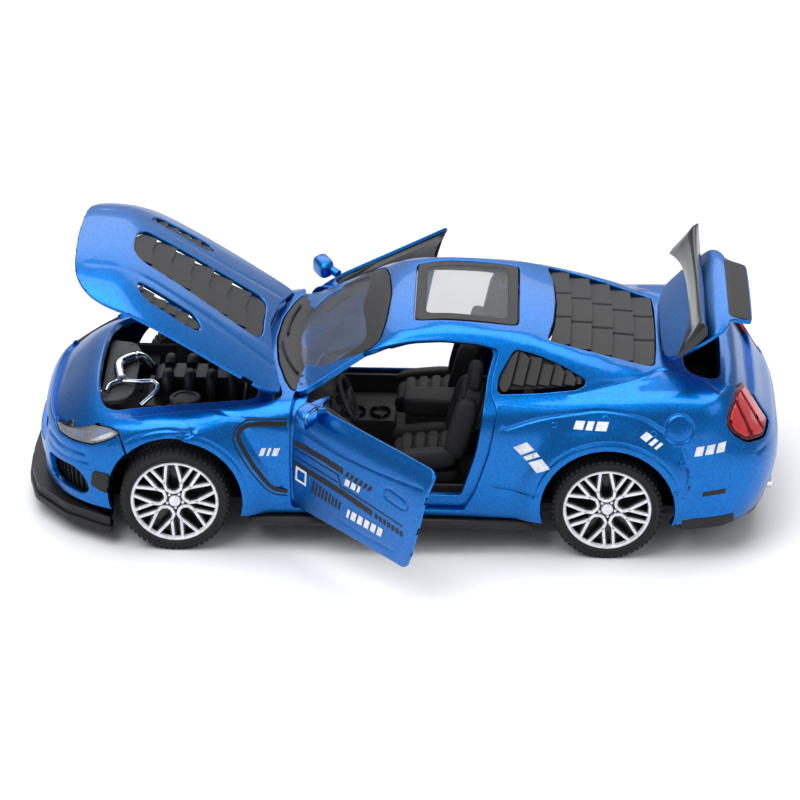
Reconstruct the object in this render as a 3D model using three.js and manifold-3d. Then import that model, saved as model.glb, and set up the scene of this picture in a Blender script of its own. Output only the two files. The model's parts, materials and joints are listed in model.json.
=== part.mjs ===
// A 1:32 die-cast collector car: a two-door fastback with an opening bonnet, two doors and a boot lid.
// Millimetres, +Z up, nose towards -X, left side towards -Y, ground at z = 0.
import * as THREE from "three";
import { mergeVertices } from "three/addons/utils/BufferGeometryUtils.js";
import Module from "manifold-3d";

const wasm = await Module();
wasm.setup();

// ---------------------------------------------------------------- driving dimensions
const AXLE_F = -44; // front axle, x
const AXLE_R = 41; // rear axle, x
const TYRE_R = 10.8;
const RIM_R = 8.5;
const WHEEL_IN = 23.2; // inner face of a wheel, |y|
const WHEEL_OUT = 30.8; // outer face of a wheel, |y|
const ARCH_R = 13.2; // wheel arch radius in the skin
const ARCH_Z = 11.3; // wheel arch centre height
const SKIN = 1.2; // wall of the cast body
const PANEL = 0.75; // wall of an opening panel
const REST = 1.05; // depth of the ledge that a closed panel rests on
const LEDGE = 2.2; // depth of that ledge's underside
const GAP = 0.45; // shut line round each opening panel
const SNUG = 0.3; // gap between pieces that are fixed to each other
const SILL_Z = 7.6; // lower edge of the body skin
const NOSE_X = -73; // foremost point of the front bumper
const TAIL_X = 75.2; // rearmost point of the rear bumper
const PLAN_Y = 30; // half-width that the rounded nose and tail start from
const HOOD_OPEN = 39; // opening angles at rest, degrees
const DOOR_OPEN = 47;
const LID_OPEN = 43;
const HOOD_HINGE = [-22.5, 31]; // x, z
const DOOR_HINGE = [-20.4, 28.9]; // x, |y|
const LID_HINGE = [49.7, 35.2]; // x, z

const RAD = Math.PI / 180;
const ROUND = 20; // sides of a wheel

// ---------------------------------------------------------------- curves and smooth limits
// A smooth curve through points [position, value], flat beyond both ends.
function curve(points) {
  const n = points.length;
  const slope = points.map((p, i) => {
    if (i === 0 || i === n - 1) return 0;
    return (points[i + 1][1] - points[i - 1][1]) / (points[i + 1][0] - points[i - 1][0]);
  });
  slope[0] = (points[1][1] - points[0][1]) / (points[1][0] - points[0][0]);
  slope[n - 1] = (points[n - 1][1] - points[n - 2][1]) / (points[n - 1][0] - points[n - 2][0]);
  return (x) => {
    if (x <= points[0][0]) return points[0][1] + slope[0] * (x - points[0][0]);
    if (x >= points[n - 1][0]) return points[n - 1][1] + slope[n - 1] * (x - points[n - 1][0]);
    let i = 0;
    while (x > points[i + 1][0]) i += 1;
    const w = points[i + 1][0] - points[i][0];
    const t = (x - points[i][0]) / w;
    const a = (1 + 2 * t) * (1 - t) ** 2 * points[i][1] + t * (1 - t) ** 2 * w * slope[i];
    return a + t * t * (3 - 2 * t) * points[i + 1][1] + t * t * (t - 1) * w * slope[i + 1];
  };
}
const smoothMax = (a, b, k) => Math.max(a, b) + (Math.max(k - Math.abs(a - b), 0) ** 2) / (4 * k);
const smoothMin = (a, b, k) => -smoothMax(-a, -b, k);
const ease = (t) => {
  const c = Math.min(Math.max(t, 0), 1);
  return c * c * (3 - 2 * c);
};

// ---------------------------------------------------------------- shape of the body
const bonnetCentre = curve([[-73, 19.5], [-70, 23], [-67, 25.4], [-63.5, 27.6], [-60, 28.9],
  [-50, 30.2], [-40, 31], [-30, 31.7], [-22, 32.2], [0, 33], [30, 34.2], [45, 35.4], [52, 35.6],
  [60, 35], [66.5, 34.2], [72, 33]]);
const bonnetEdge = curve([[-73, 18.5], [-70, 20.5], [-62.8, 24], [-55, 26.4], [-46, 28], [-36, 29.2],
  [-26.5, 30.2], [-20, 31.2], [-10, 31.9], [10, 32.2], [25, 32.7], [41, 33.4], [52, 33.8], [65, 33.5],
  [72, 32.8]]);
const roofLine = curve([[-24, 30], [-4, 42.1], [2.6, 43.6], [10, 44.2], [22.8, 43.2], [29.4, 41.8],
  [40, 38.9], [50.3, 35.5], [58, 32.5]]);
const cabinHalf = curve([[-24, 26.4], [0, 26.6], [18, 26.3], [30, 25.2], [40, 23.4], [50, 20.5], [60, 16]]);
const beltLine = curve([[-24, 31.4], [0, 32], [19, 32.4], [36, 33.6], [50, 34]]);
const planHalf = curve([[-76, 29.2], [-44, 29.8], [-15, 29.1], [10, 29.3], [41, 30.4], [76, 29.8]]);
const tuck = curve([[4, 2.4], [7, 1.2], [10, 0.4], [14, 0], [20, 0], [25, 0.3], [28, 0.9], [31, 2.1],
  [33, 3.3], [36, 5.6]]);
const noseProfile = curve([[3, -71], [8, -72.3], [14, -73], [19, -72.7], [22, -71.4], [24, -69.4],
  [28, -64]]);
const tailProfile = curve([[4, 70.5], [9, 73.4], [14, 75], [19, 75.2], [22.5, 74], [25, 72.2],
  [28, 70.4], [31.5, 68.2], [34, 66.8], [38, 65]]);

const WINDSCREEN_RAKE = 0.485; // rise per millimetre
const ROOF_CROWN = 1.3; // drop of the roof at |y| = 20
const LEAN = 0.82; // inward lean of the side windows

function lowerTop(x, y) {
  const c = bonnetCentre(x);
  return c - (c - bonnetEdge(x)) * (Math.abs(y) / 25) ** 2.6;
}
function cabinTop(x, y) {
  const roof = roofLine(x) - ROOF_CROWN * (y / 20) ** 2;
  const base = -25.8 + 5 * (y / 25) ** 2;
  const screen = 31.6 + (x - base) * WINDSCREEN_RAKE - 0.9 * (y / 20) ** 2;
  const side = beltLine(x) + (cabinHalf(x) - Math.abs(y)) / LEAN;
  return smoothMin(smoothMin(roof, screen, 1.2), side, 2.2);
}
const topHeight = (x, y) => smoothMax(lowerTop(x, y), cabinTop(x, y), 1);
function flare(x, z) {
  const one = (axle) => {
    const r = Math.hypot(x - axle, z - ARCH_Z);
    return 1.5 * ease((19.5 - r) / 5.5);
  };
  return one(AXLE_F) + one(AXLE_R);
}
const sideHalf = (x, z) => planHalf(x) - tuck(z) + flare(x, z);
// How far the nose or tail falls back at |y|, for a rounded plan of a given depth and squareness.
function fallBack(y, depth, power) {
  const t = Math.min(Math.abs(y) / PLAN_Y, 0.9995);
  return depth * (1 - (1 - t ** power) ** (1 / power));
}
// Negative inside the body, roughly in millimetres.
function bodyField(x, y, z) {
  const h = 0.4;
  const top = topHeight(x, y);
  const gx = (topHeight(x + h, y) - top) / h;
  const gy = (topHeight(x, Math.abs(y) + h) - topHeight(x, Math.abs(y))) / h;
  const over = (z - top) / Math.hypot(1, gx, gy);
  const beside = Math.abs(y) - sideHalf(x, z);
  const ny = (fallBack(Math.abs(y) + h, 28, 2.5) - fallBack(y, 28, 2.5)) / h;
  const ty = (fallBack(Math.abs(y) + h, 22, 3.5) - fallBack(y, 22, 3.5)) / h;
  const ahead = (noseProfile(z) + fallBack(y, 28, 2.5) - x) / Math.hypot(1, Math.min(ny, 6));
  const behind = (x - tailProfile(z) + fallBack(y, 22, 3.5)) / Math.hypot(1, Math.min(ty, 6));
  return smoothMax(smoothMax(over, beside, 2.4), smoothMax(ahead, behind, 1), 1.4);
}

// ---------------------------------------------------------------- solids
function solidOf(geometry) {
  const g = geometry.clone();
  g.deleteAttribute("normal");
  g.deleteAttribute("uv");
  const merged = mergeVertices(g, 1e-4);
  const mesh = { numProp: 3, vertProperties: merged.attributes.position.array,
    triVerts: new Uint32Array(merged.index.array) };
  return new wasm.Manifold(new wasm.Mesh(mesh));
}
function geometryOf(solid) {
  const mesh = solid.getMesh();
  const g = new THREE.BufferGeometry();
  g.setAttribute("position", new THREE.BufferAttribute(new Float32Array(mesh.vertProperties), 3));
  g.setIndex(new THREE.BufferAttribute(new Uint32Array(mesh.triVerts), 1));
  g.computeVertexNormals();
  return g;
}
const join = (...solids) => solids.reduce((a, b) => a.add(b));
const biggest = (solid) => solid.decompose().sort((a, b) => b.volume() - a.volume())[0];

// The body's outline at one x, inset by a depth: a ring of points from one lower edge to the other.
const SWEEP = 18; // rays from one lower edge of the side over the top to the other
const EDGE_RAY = -0.292; // angle of the ray through that lower edge, radians
const FLOOR_RAY = -0.75; // angle of one more ray, to the floor
const CORE_Z = 16; // height that the rays start from
const STATION = 6.6; // spacing of the rings along the car
const COARSE = 10; // spacing on the hidden inner faces
function ring(x, inset, floor) {
  const points = [];
  for (let i = -1; i <= SWEEP + 1; i += 1) {
    const across = EDGE_RAY + ((Math.PI - 2 * EDGE_RAY) * i) / SWEEP;
    const a = i < 0 ? FLOOR_RAY : i > SWEEP ? Math.PI - FLOOR_RAY : across;
    const dy = Math.cos(a);
    const dz = Math.sin(a);
    let near = 0;
    let far = 60;
    for (let k = 0; k < 30; k += 1) {
      const r = (near + far) / 2;
      const z = CORE_Z + r * dz;
      const inside = bodyField(x, r * dy, z) < -inset && z > floor;
      if (inside) near = r;
      else far = r;
    }
    points.push([near * dy, CORE_Z + near * dz]);
  }
  return points;
}
// The whole body as one closed solid, its surface moved in by inset and its underside at floor.
function bodySolid(inset, floor, spacing = STATION) {
  const from = NOSE_X + inset + 0.06;
  const to = TAIL_X - inset - 0.06;
  const stations = [];
  const ends = [0, 0.6, 2.2, 5, 9.4];
  ends.forEach((d) => stations.push(from + d));
  for (let x = -57; x < 61; x += spacing) stations.push(x);
  ends.reverse().forEach((d) => stations.push(to - d));
  const rows = stations.map((x) => ring(x, inset, floor).map(([y, z]) => [x, y, z]));
  const positions = [];
  const index = [];
  const wide = rows[0].length;
  rows.forEach((row) => row.forEach((p) => positions.push(...p)));
  for (let i = 0; i < rows.length - 1; i += 1) {
    for (let j = 0; j < wide; j += 1) {
      const a = i * wide + j;
      const b = i * wide + ((j + 1) % wide);
      index.push(a, b, a + wide, b, b + wide, a + wide);
    }
  }
  [0, rows.length - 1].forEach((i, last) => {
    const centre = positions.length / 3;
    positions.push(stations[i], 0, CORE_Z);
    for (let j = 0; j < wide; j += 1) {
      const a = i * wide + j;
      const b = i * wide + ((j + 1) % wide);
      if (last) index.push(centre, a, b);
      else index.push(centre, b, a);
    }
  });
  const g = new THREE.BufferGeometry();
  g.setAttribute("position", new THREE.Float32BufferAttribute(positions, 3));
  g.setIndex(index);
  const solid = solidOf(g);
  return solid.volume() > 0 ? solid : solidOf(flip(g));
}
function flip(g) {
  const index = g.index.array;
  for (let i = 0; i < index.length; i += 3) [index[i + 1], index[i + 2]] = [index[i + 2], index[i + 1]];
  return g;
}

// Straight prisms from an outline. Along Y the outline is [x, z]; along Z, [x, y]; along X, [y, z].
function prism(points, from, to, basis) {
  const shape = new THREE.Shape(points.map(([a, b]) => new THREE.Vector2(a, b)));
  const g = new THREE.ExtrudeGeometry(shape, { depth: to - from, bevelEnabled: false, steps: 1 });
  g.translate(0, 0, from);
  g.applyMatrix4(basis);
  const solid = solidOf(g);
  return solid.volume() > 0 ? solid : solidOf(flip(mergeVertices(stripped(g))));
}
function stripped(g) {
  g.deleteAttribute("normal");
  g.deleteAttribute("uv");
  return g;
}
const v3 = (x, y, z) => new THREE.Vector3(x, y, z);
const alongZ = (points, from, to) => prism(points, from, to, new THREE.Matrix4());
const alongY = (points, from, to) =>
  prism(points, from, to, new THREE.Matrix4().makeBasis(v3(1, 0, 0), v3(0, 0, 1), v3(0, 1, 0)));
const alongX = (points, from, to) =>
  prism(points, from, to, new THREE.Matrix4().makeBasis(v3(0, 1, 0), v3(0, 0, 1), v3(1, 0, 0)));
function box(x0, x1, y0, y1, z0, z1) {
  const g = new THREE.BoxGeometry(x1 - x0, y1 - y0, z1 - z0);
  return solidOf(g.translate((x0 + x1) / 2, (y0 + y1) / 2, (z0 + z1) / 2));
}
// A cylinder or cone between two points.
function rod(from, to, r0, r1 = r0, sides = 16) {
  const a = v3(...from);
  const b = v3(...to);
  const g = new THREE.CylinderGeometry(r1, r0, a.distanceTo(b), sides);
  const turn = new THREE.Quaternion().setFromUnitVectors(v3(0, 1, 0), b.clone().sub(a).normalize());
  g.applyQuaternion(turn);
  return solidOf(g.translate(...a.add(b).multiplyScalar(0.5).toArray()));
}
// A solid of revolution about an axis along Y; the profile is [radius, y].
function turned(profile, x, z, sides = ROUND) {
  const g = new THREE.LatheGeometry(profile.map(([r, y]) => new THREE.Vector2(r, y)), sides, Math.PI / sides);
  g.translate(x, 0, z);
  const solid = solidOf(g);
  return solid.volume() > 0 ? solid : solidOf(flip(mergeVertices(stripped(g))));
}
// A tube along a curve through points.
function tube(points, r, sides = 8, steps = 8) {
  const shape = new THREE.Shape();
  for (let i = 0; i < sides; i += 1) {
    const a = (i / sides) * 2 * Math.PI;
    if (i) shape.lineTo(r * Math.cos(a), r * Math.sin(a));
    else shape.moveTo(r, 0);
  }
  const path = new THREE.CatmullRomCurve3(points.map((p) => v3(...p)));
  return solidOf(new THREE.ExtrudeGeometry(shape, { extrudePath: path, steps, bevelEnabled: false }));
}
// Mirrors an outline [x, y] given for y > 0 to a closed one for both sides.
const bothSides = (half) => [...half, ...half.filter((p) => p[1] > 0).reverse().map(([x, y]) => [x, -y])];
// Moves a closed outline outwards by a distance.
function grown(points, distance) {
  const area = points.reduce((s, p, i) => {
    const q = points[(i + 1) % points.length];
    return s + p[0] * q[1] - q[0] * p[1];
  }, 0);
  const side = area > 0 ? 1 : -1;
  return points.map((p, i) => {
    const before = points[(i + points.length - 1) % points.length];
    const after = points[(i + 1) % points.length];
    const normal = (a, b) => {
      const l = Math.hypot(b[0] - a[0], b[1] - a[1]);
      return [(side * (b[1] - a[1])) / l, (-side * (b[0] - a[0])) / l];
    };
    const m = normal(before, p);
    const n = normal(p, after);
    const s = distance / Math.max(1 + m[0] * n[0] + m[1] * n[1], 0.5);
    return [p[0] + s * (m[0] + n[0]), p[1] + s * (m[1] + n[1])];
  });
}
const mirrored = (solid) => solid.mirror([0, 1, 0]);

// ---------------------------------------------------------------- outlines
const hoodOutline = bothSides([[-70.2, 0], [-69.9, 8], [-69.2, 14], [-68, 17.6], [-66, 20.6], [-63.4, 22.8],
  [-60, 24.2], [-54, 24.8], [-46, 25], [-36, 25], [-27, 24.6], [-24.2, 23.6], [-23.4, 22.4],
  [-26.6, 12], [-28.4, 0]]);
const bayOutline = bothSides([[-61.5, 0], [-61, 12], [-59.5, 19], [-57, 21], [-46, 21.4], [-28, 21.4],
  [-26, 20.5], [-27.5, 12], [-29.5, 0]]);
const centreVentOutline = bothSides([[-60.2, 0], [-60, 4], [-58.2, 6.6], [-44, 7.8], [-31, 9], [-30, 6],
  [-30.2, 0]]);
const sideVentOutline = [[-58, 14.6], [-55.6, 18.4], [-45, 19.6], [-42.6, 18.6], [-44.6, 15.2]];
const lidOutline = bothSides([[51.9, 0], [52, 12], [52.6, 15.6], [54.6, 17.6], [60, 19], [64, 19.4],
  [66.4, 18.8], [69.5, 16.5], [69.5, 0]]);
const trunkOutline = bothSides([[55, 0], [55.4, 12], [56.6, 15], [60, 16.4], [62.4, 16.4], [63.4, 15],
  [63.8, 0]]);
const doorOutline = [[-20.7, 9.4], [-20.9, 20], [-20.7, 30.2], [-18.6, 36], [18, 36], [18.6, 31], [17, 22],
  [14.4, 13.5], [12.4, 9.4]];
const cabinOpening = [[-18.2, 12], [-18.4, 30.6], [-16.8, 33.4], [-10.5, 37], [-3.6, 40], [2, 41], [8, 41.3],
  [16, 40.9], [21, 40.2], [16.8, 31], [15, 22], [12.2, 12]];
const quarterOutline = [[17.4, 32.8], [21.6, 40], [26, 39.4], [31, 37.8], [35.6, 35.6], [36.4, 34.9],
  [34.6, 34.1], [27, 33.4]];
const screenOutline = bothSides([[-25.2, 0], [-24.4, 10], [-22.4, 18.4], [-20.6, 22.4], [-12, 19.6],
  [-4.4, 17.2], [-3.2, 10], [-2.6, 0]]);
const sunroofOutline = bothSides([[2.6, 0], [2.6, 12.2], [3.4, 13], [22, 13.6], [22.8, 12.8], [22.8, 0]]);
const louvreOutline = bothSides([[30.6, 0], [30.2, 9], [29, 16.6], [40, 16.4], [49.6, 15.4], [50, 9],
  [50.1, 0]]);
const headlightOutline = [[17, 21.9], [16.8, 24.5], [20, 25.2], [26, 26.4], [29.6, 26.6], [29.8, 25.4],
  [27.4, 22.4], [23.4, 20.6], [20, 20.4]];
const tailLightOutline = [[14, 23.4], [14, 32.6], [17.5, 33.4], [21.5, 33.2], [26, 31.5], [27.6, 28.6],
  [25.4, 24.4], [20, 22.8]];
const grilleOutline = [[-14.6, 15.2], [-15.4, 20.6], [15.4, 20.6], [14.6, 15.2]];
const lowerGrilleOutline = [[-13, 8], [-14.6, 12.4], [14.6, 12.4], [13, 8]];
const ductOutline = [[17.4, 9.6], [17, 14.6], [25, 15.2], [26.6, 12.4], [26.4, 9.6]];

// ---------------------------------------------------------------- skin layers
const outer = bodySolid(0, SILL_Z);
const skin = outer.subtract(bodySolid(SKIN, 1, COARSE));
// A layer of the body between two depths.
const layer = (from, to, spacing) => bodySolid(from, SILL_Z).subtract(bodySolid(to, 1, spacing));
const panelSkin = layer(0, PANEL, STATION);
const ledgeLayer = layer(REST, LEDGE, COARSE);
const onSides = (points, from = 15, to = 40) => join(alongY(points, from, to), alongY(points, -to, -from));
const onXSides = (points, from, to) =>
  join(alongX(points, from, to), alongX(points.map(([y, z]) => [-y, z]), from, to));

// The ledge that a closed panel rests on, just below the skin round its opening.
const ledge = (opening, inner, cutter) =>
  ledgeLayer.intersect(cutter(grown(opening, 1.5)).subtract(cutter(inner)));

const hoodCutter = (points) => alongZ(points, 20.5, 60);
const lidCutter = (points) => alongZ(points, 27.6, 60);
const doorCutter = (points) => onSides(points, 17, 40);
const frontBumperRegion = [[-90, -5], [-54, -5], [-54, 24], [-58, 23.4], [-67.5, 22.6], [-90, 22.6]];
const rearBumperRegion = [[58.5, -5], [90, -5], [90, 22.4], [66, 22.4], [59.5, 22.8]];

// Slots that let the hinge arms through the edges of their openings.
const HOOD_ARM_Y = 18.6;
const SIDES = [1, -1];
const hoodArmSlot = (y) => box(-29.6, -24.1, y - 1.2, y + 1.2, 20, 31);
const hoodArmSlots = join(...SIDES.map((s) => hoodArmSlot(s * HOOD_ARM_Y)));
const LID_ARM_HALF = 3;
const lidArmSlot = box(50.2, 56, -LID_ARM_HALF - 0.6, LID_ARM_HALF + 0.6, 30, 60);

const archBore = (x) => rod([x, -40, ARCH_Z], [x, 40, ARCH_Z], ARCH_R, ARCH_R, 28);
const archCut = join(archBore(AXLE_F), archBore(AXLE_R));
const lampCut = (points, from, to) => onXSides(grown(points, SNUG), from, to);
const lidRear = [[-13.3, 28.4], [-13.3, 36], [13.3, 36], [13.3, 28.4]];
const LID_LOW = 32.9; // lowest z of the lid's top skin
const HIGH = 60; // above everything on the body
// Room for the inner edge of each door skin as it swings in about the hinge.
const doorPocket = (side) => {
  const [x, y] = DOOR_HINGE;
  const sweep = rod([x, side * y, 25.4], [x, side * y, 30.8], 4.8, 4.8, 20);
  return sweep.intersect(box(-21.1, -14, -40, 40, 20, 40));
};

function bodyShell() {
  let shell = skin.subtract(hoodCutter(grown(hoodOutline, GAP)));
  shell = shell.add(ledge(hoodOutline, bayOutline, hoodCutter)).subtract(hoodArmSlots);
  shell = shell.subtract(lidCutter(grown(lidOutline, GAP)));
  shell = shell.subtract(alongX(grown(lidRear, GAP), 60, 90));
  const lidLedge = ledge(lidOutline, trunkOutline, (p) => alongZ(p, 31, 60));
  shell = shell.add(lidLedge.subtract(alongX(grown(lidRear, GAP), 64.5, 90))).subtract(lidArmSlot);
  shell = shell.subtract(doorCutter(grown(doorOutline, GAP)));
  shell = shell.add(ledge(doorOutline, cabinOpening, doorCutter)).subtract(doorCutter(cabinOpening));
  shell = shell.subtract(doorPocket(1)).subtract(doorPocket(-1));
  shell = shell.subtract(doorCutter(grown(quarterOutline, SNUG)));
  shell = shell.subtract(alongZ(grown(screenOutline, SNUG), 30.6, 60));
  shell = shell.subtract(alongZ(grown(sunroofOutline, SNUG), 36, 60));
  shell = shell.subtract(alongZ(grown(louvreOutline, SNUG), 33, 60));
  shell = shell.subtract(lampCut(headlightOutline, -90, -53)).subtract(lampCut(tailLightOutline, 56, 90));
  shell = shell.subtract(alongY(grown(frontBumperRegion, SNUG), -50, 50));
  shell = shell.subtract(alongY(grown(rearBumperRegion, SNUG), -50, 50));
  return biggest(shell.subtract(archCut));
}
function frontBumper() {
  let piece = skin.intersect(alongY(frontBumperRegion, -50, 50));
  piece = piece.subtract(lampCut(headlightOutline, -90, -53)).subtract(archCut);
  piece = piece.subtract(alongX(grown(grilleOutline, SNUG), -90, -66));
  piece = piece.subtract(alongX(grown(lowerGrilleOutline, SNUG), -90, -66));
  return biggest(piece.subtract(onXSides(ductOutline, -90, -58)));
}
const EXHAUST_Y = 16;
const EXHAUST_Z = 10.6;
function rearBumper() {
  const hole = (y) => rod([60, y, EXHAUST_Z], [80, y, EXHAUST_Z], 2, 2, 16);
  const holes = join(...SIDES.map((s) => hole(s * EXHAUST_Y)));
  const piece = skin.intersect(alongY(rearBumperRegion, -50, 50)).subtract(holes);
  return biggest(piece.subtract(lampCut(tailLightOutline, 56, 90)).subtract(archCut));
}
const underLayer = layer(SKIN + SNUG, SKIN + SNUG + 1.1, COARSE);
const duct = (side) => biggest(underLayer.intersect(
  alongX(grown(ductOutline, 0.8).map(([y, z]) => [side * y, z]), -90, -57)));

// ---------------------------------------------------------------- materials
function paint(color, roughness = 0.5, metalness = 0, extra = {}) {
  return new THREE.MeshStandardMaterial({ color, roughness, metalness, ...extra });
}
const BLUE = paint(0x0b55b5, 0.3, 0.4);
const BLUE_PLASTIC = paint(0x0b55b5, 0.32, 0.3);
const BLACK = paint(0x1c1c1e, 0.55);
const TRIM = paint(0x2a2a2b, 0.45);
const RUBBER = paint(0x1a1a1a, 0.9);
const ALLOY = paint(0xb9bcc0, 0.3, 0.9);
const STEEL = paint(0x8f9296, 0.35, 1);
const CHROME = paint(0xd0d4da, 0.12, 1);
const SMOKED = paint(0x33363a, 0.1, 0, { transparent: true, opacity: 0.5 });
const LENS = paint(0xe8eef2, 0.08, 0, { transparent: true, opacity: 0.6 });
const RED = paint(0x8a0d18, 0.12, 0, { transparent: true, opacity: 0.85 });
const BRASS = paint(0xb8963e, 0.35, 0.9);

const car = new THREE.Group();
function put(name, solid, material, parent = car) {
  const mesh = new THREE.Mesh(geometryOf(solid), material);
  mesh.name = name;
  parent.add(mesh);
  return mesh;
}
// A group turned about a hinge; what is put in it is drawn closed and shown open.
function hinged(x, y, z, axis, degrees) {
  const away = new THREE.Group();
  away.position.set(x, y, z);
  away.setRotationFromAxisAngle(v3(...axis), degrees * RAD);
  const home = new THREE.Group();
  home.position.set(-x, -y, -z);
  away.add(home);
  car.add(away);
  return home;
}

// ---------------------------------------------------------------- body and its trim
put("body_shell", bodyShell(), BLUE);
put("front_bumper", frontBumper(), BLUE_PLASTIC);
put("rear_bumper", rearBumper(), BLUE_PLASTIC);
const lampBody = skin.intersect(alongX(headlightOutline, -90, -53));
const headlight = biggest(lampBody.subtract(hoodCutter(grown(hoodOutline, GAP))));
const lidTop = alongZ(grown(lidOutline, GAP), LID_LOW - GAP, HIGH);
const tailLight = biggest(skin.intersect(alongX(tailLightOutline, 56, 90)).subtract(lidTop));
const quarter = biggest(skin.intersect(alongY(quarterOutline, 17, 40)));
put("headlight_right", headlight, LENS);
put("headlight_left", mirrored(headlight), LENS);
put("tail_light_right", tailLight, RED);
put("tail_light_left", mirrored(tailLight), RED);
put("windscreen", biggest(skin.intersect(alongZ(screenOutline, 30.6, 60))), SMOKED);
put("sunroof", biggest(skin.intersect(alongZ(sunroofOutline, 36, 60))), SMOKED);
put("rear_louvre", biggest(skin.intersect(alongZ(louvreOutline, 33, 60))), TRIM);
put("quarter_louvre_right", quarter, TRIM);
put("quarter_louvre_left", mirrored(quarter), TRIM);
put("bumper_duct_right", duct(1), TRIM);
put("bumper_duct_left", duct(-1), TRIM);

const BAR_HEIGHTS = [10, 11.6, 16, 17.6, 19.2];
const grilleBars = BAR_HEIGHTS.map((z) => box(-69.3, -67.8, -13, 13, z - 0.35, z + 0.35));
const grilleFrame = alongX([[-14.2, 9.2], [-14.2, 20.8], [14.2, 20.8], [14.2, 9.2]], -68.1, -67.3);
put("front_grille", join(grilleFrame, ...grilleBars), TRIM);

const SPLITTER_TOP = 6.4;
const splitterOutline = bothSides([[-75.6, 0], [-75.2, 8], [-73.2, 16], [-66.4, 24], [-57.6, 29.4],
  [-56.4, 29.4], [-56.4, 26.2], [-64, 22], [-68.6, 14], [-69.4, 0]]);
put("front_splitter", alongZ(splitterOutline, 3, SPLITTER_TOP), TRIM);
const diffuserOutline = bothSides([[73.6, 0], [73, 12], [70.4, 20], [64, 26.6], [56.6, 28.6], [55.4, 28.4],
  [55.4, 22], [62, 18], [66, 10], [66, 0]]);
put("rear_diffuser", alongZ(diffuserOutline, 4.2, SILL_Z - SNUG), TRIM);
const skirtSection = [[26.8, 5.2], [29.2, 5.2], [30, 6.2], [29, SILL_Z - SNUG], [27, SILL_Z - SNUG]];
const skirt = alongX(skirtSection, AXLE_F + 14.6, AXLE_R - 14.6);
put("side_skirt_right", skirt, TRIM);
put("side_skirt_left", mirrored(skirt), TRIM);
function exhaustTip(y) {
  const pipe = (from, to, r) => rod([from, y, EXHAUST_Z], [to, y, EXHAUST_Z], r, r, 12);
  return pipe(69, 75.6, 1.6).subtract(pipe(70.4, 76, 1.1));
}
const exhaustBar = box(67.6, 69.4, -EXHAUST_Y - 1, EXHAUST_Y + 1, EXHAUST_Z - 1, EXHAUST_Z + 1);
put("exhaust", join(exhaustBar, exhaustTip(EXHAUST_Y), exhaustTip(-EXHAUST_Y)), CHROME);

// ---------------------------------------------------------------- chassis
const PAN_LOW = 5;
const PAN_TOP = 6.7;
const LINER_IN = 20.6;
const panOutline = bothSides([[-68.6, 0], [-67.8, 13], [-63.6, 20.8], [-58.4, 24.6], [-58.4, 20.4],
  [-29.6, 20.4], [-29.6, 26.4], [26.6, 26.4], [26.6, 20.4], [55.4, 20.4], [55.4, 21.4], [61.4, 17.4],
  [65.4, 9.4], [65.4, 0]]);
function liner(x, side) {
  const half = box(x - 20, x + 20, -60, 60, PAN_LOW, 40);
  const ringOf = (r, a, b) => rod([x, side * a, ARCH_Z], [x, side * b, ARCH_Z], r, r, 18);
  const shell = ringOf(14.6, LINER_IN, 26.2).subtract(ringOf(13.7, 0, 40));
  const wall = ringOf(14.6, LINER_IN, LINER_IN + 0.9).subtract(ringOf(2, 0, 40));
  return join(shell, wall).intersect(half);
}
const HEAD_R = 1.7; // screw head radius
const HEAD_TOP = PAN_LOW + 1; // depth that the heads are sunk to
const holeAt = ([x, y]) =>
  rod([x, y, 0], [x, y, 30], 1.1, 1.1, 10).add(rod([x, y, 0], [x, y, HEAD_TOP], 2.1, 2.1, 12));
const SCREWS = [[-58.2, 13], [-58.2, -13], [58.4, 11], [58.4, -11]];
function chassis() {
  let pan = alongZ(panOutline, PAN_LOW, PAN_TOP);
  const saddle = ([x, y]) => box(x - 3, x + 3, y - 1.5, y + 1.5, PAN_TOP - 0.5, TYRE_R + 2.6);
  const saddles = [[AXLE_F, 12], [AXLE_F, -12], [AXLE_R, 14], [AXLE_R, -14]].map(saddle);
  const liners = [AXLE_F, AXLE_R].flatMap((x) => [liner(x, 1), liner(x, -1)]);
  pan = join(pan, ...saddles, ...liners);
  const bores = [AXLE_F, AXLE_R].map((x) => rod([x, -40, TYRE_R], [x, 40, TYRE_R], 1.35, 1.35, 16));
  bores.forEach((bore) => {
    pan = pan.subtract(bore);
  });
  SCREWS.forEach((s) => {
    pan = pan.subtract(holeAt(s));
  });
  return biggest(pan);
}
put("chassis_pan", chassis(), BLACK);
SCREWS.forEach(([x, y], i) => {
  const head = rod([x, y, PAN_LOW + 0.1], [x, y, HEAD_TOP - 0.1], HEAD_R, HEAD_R, 12);
  const screw = rod([x, y, PAN_LOW + 0.5], [x, y, 11.5], 0.75, 0.75, 10).add(head);
  put("chassis_screw_" + (i + 1), screw, STEEL);
});

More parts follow.
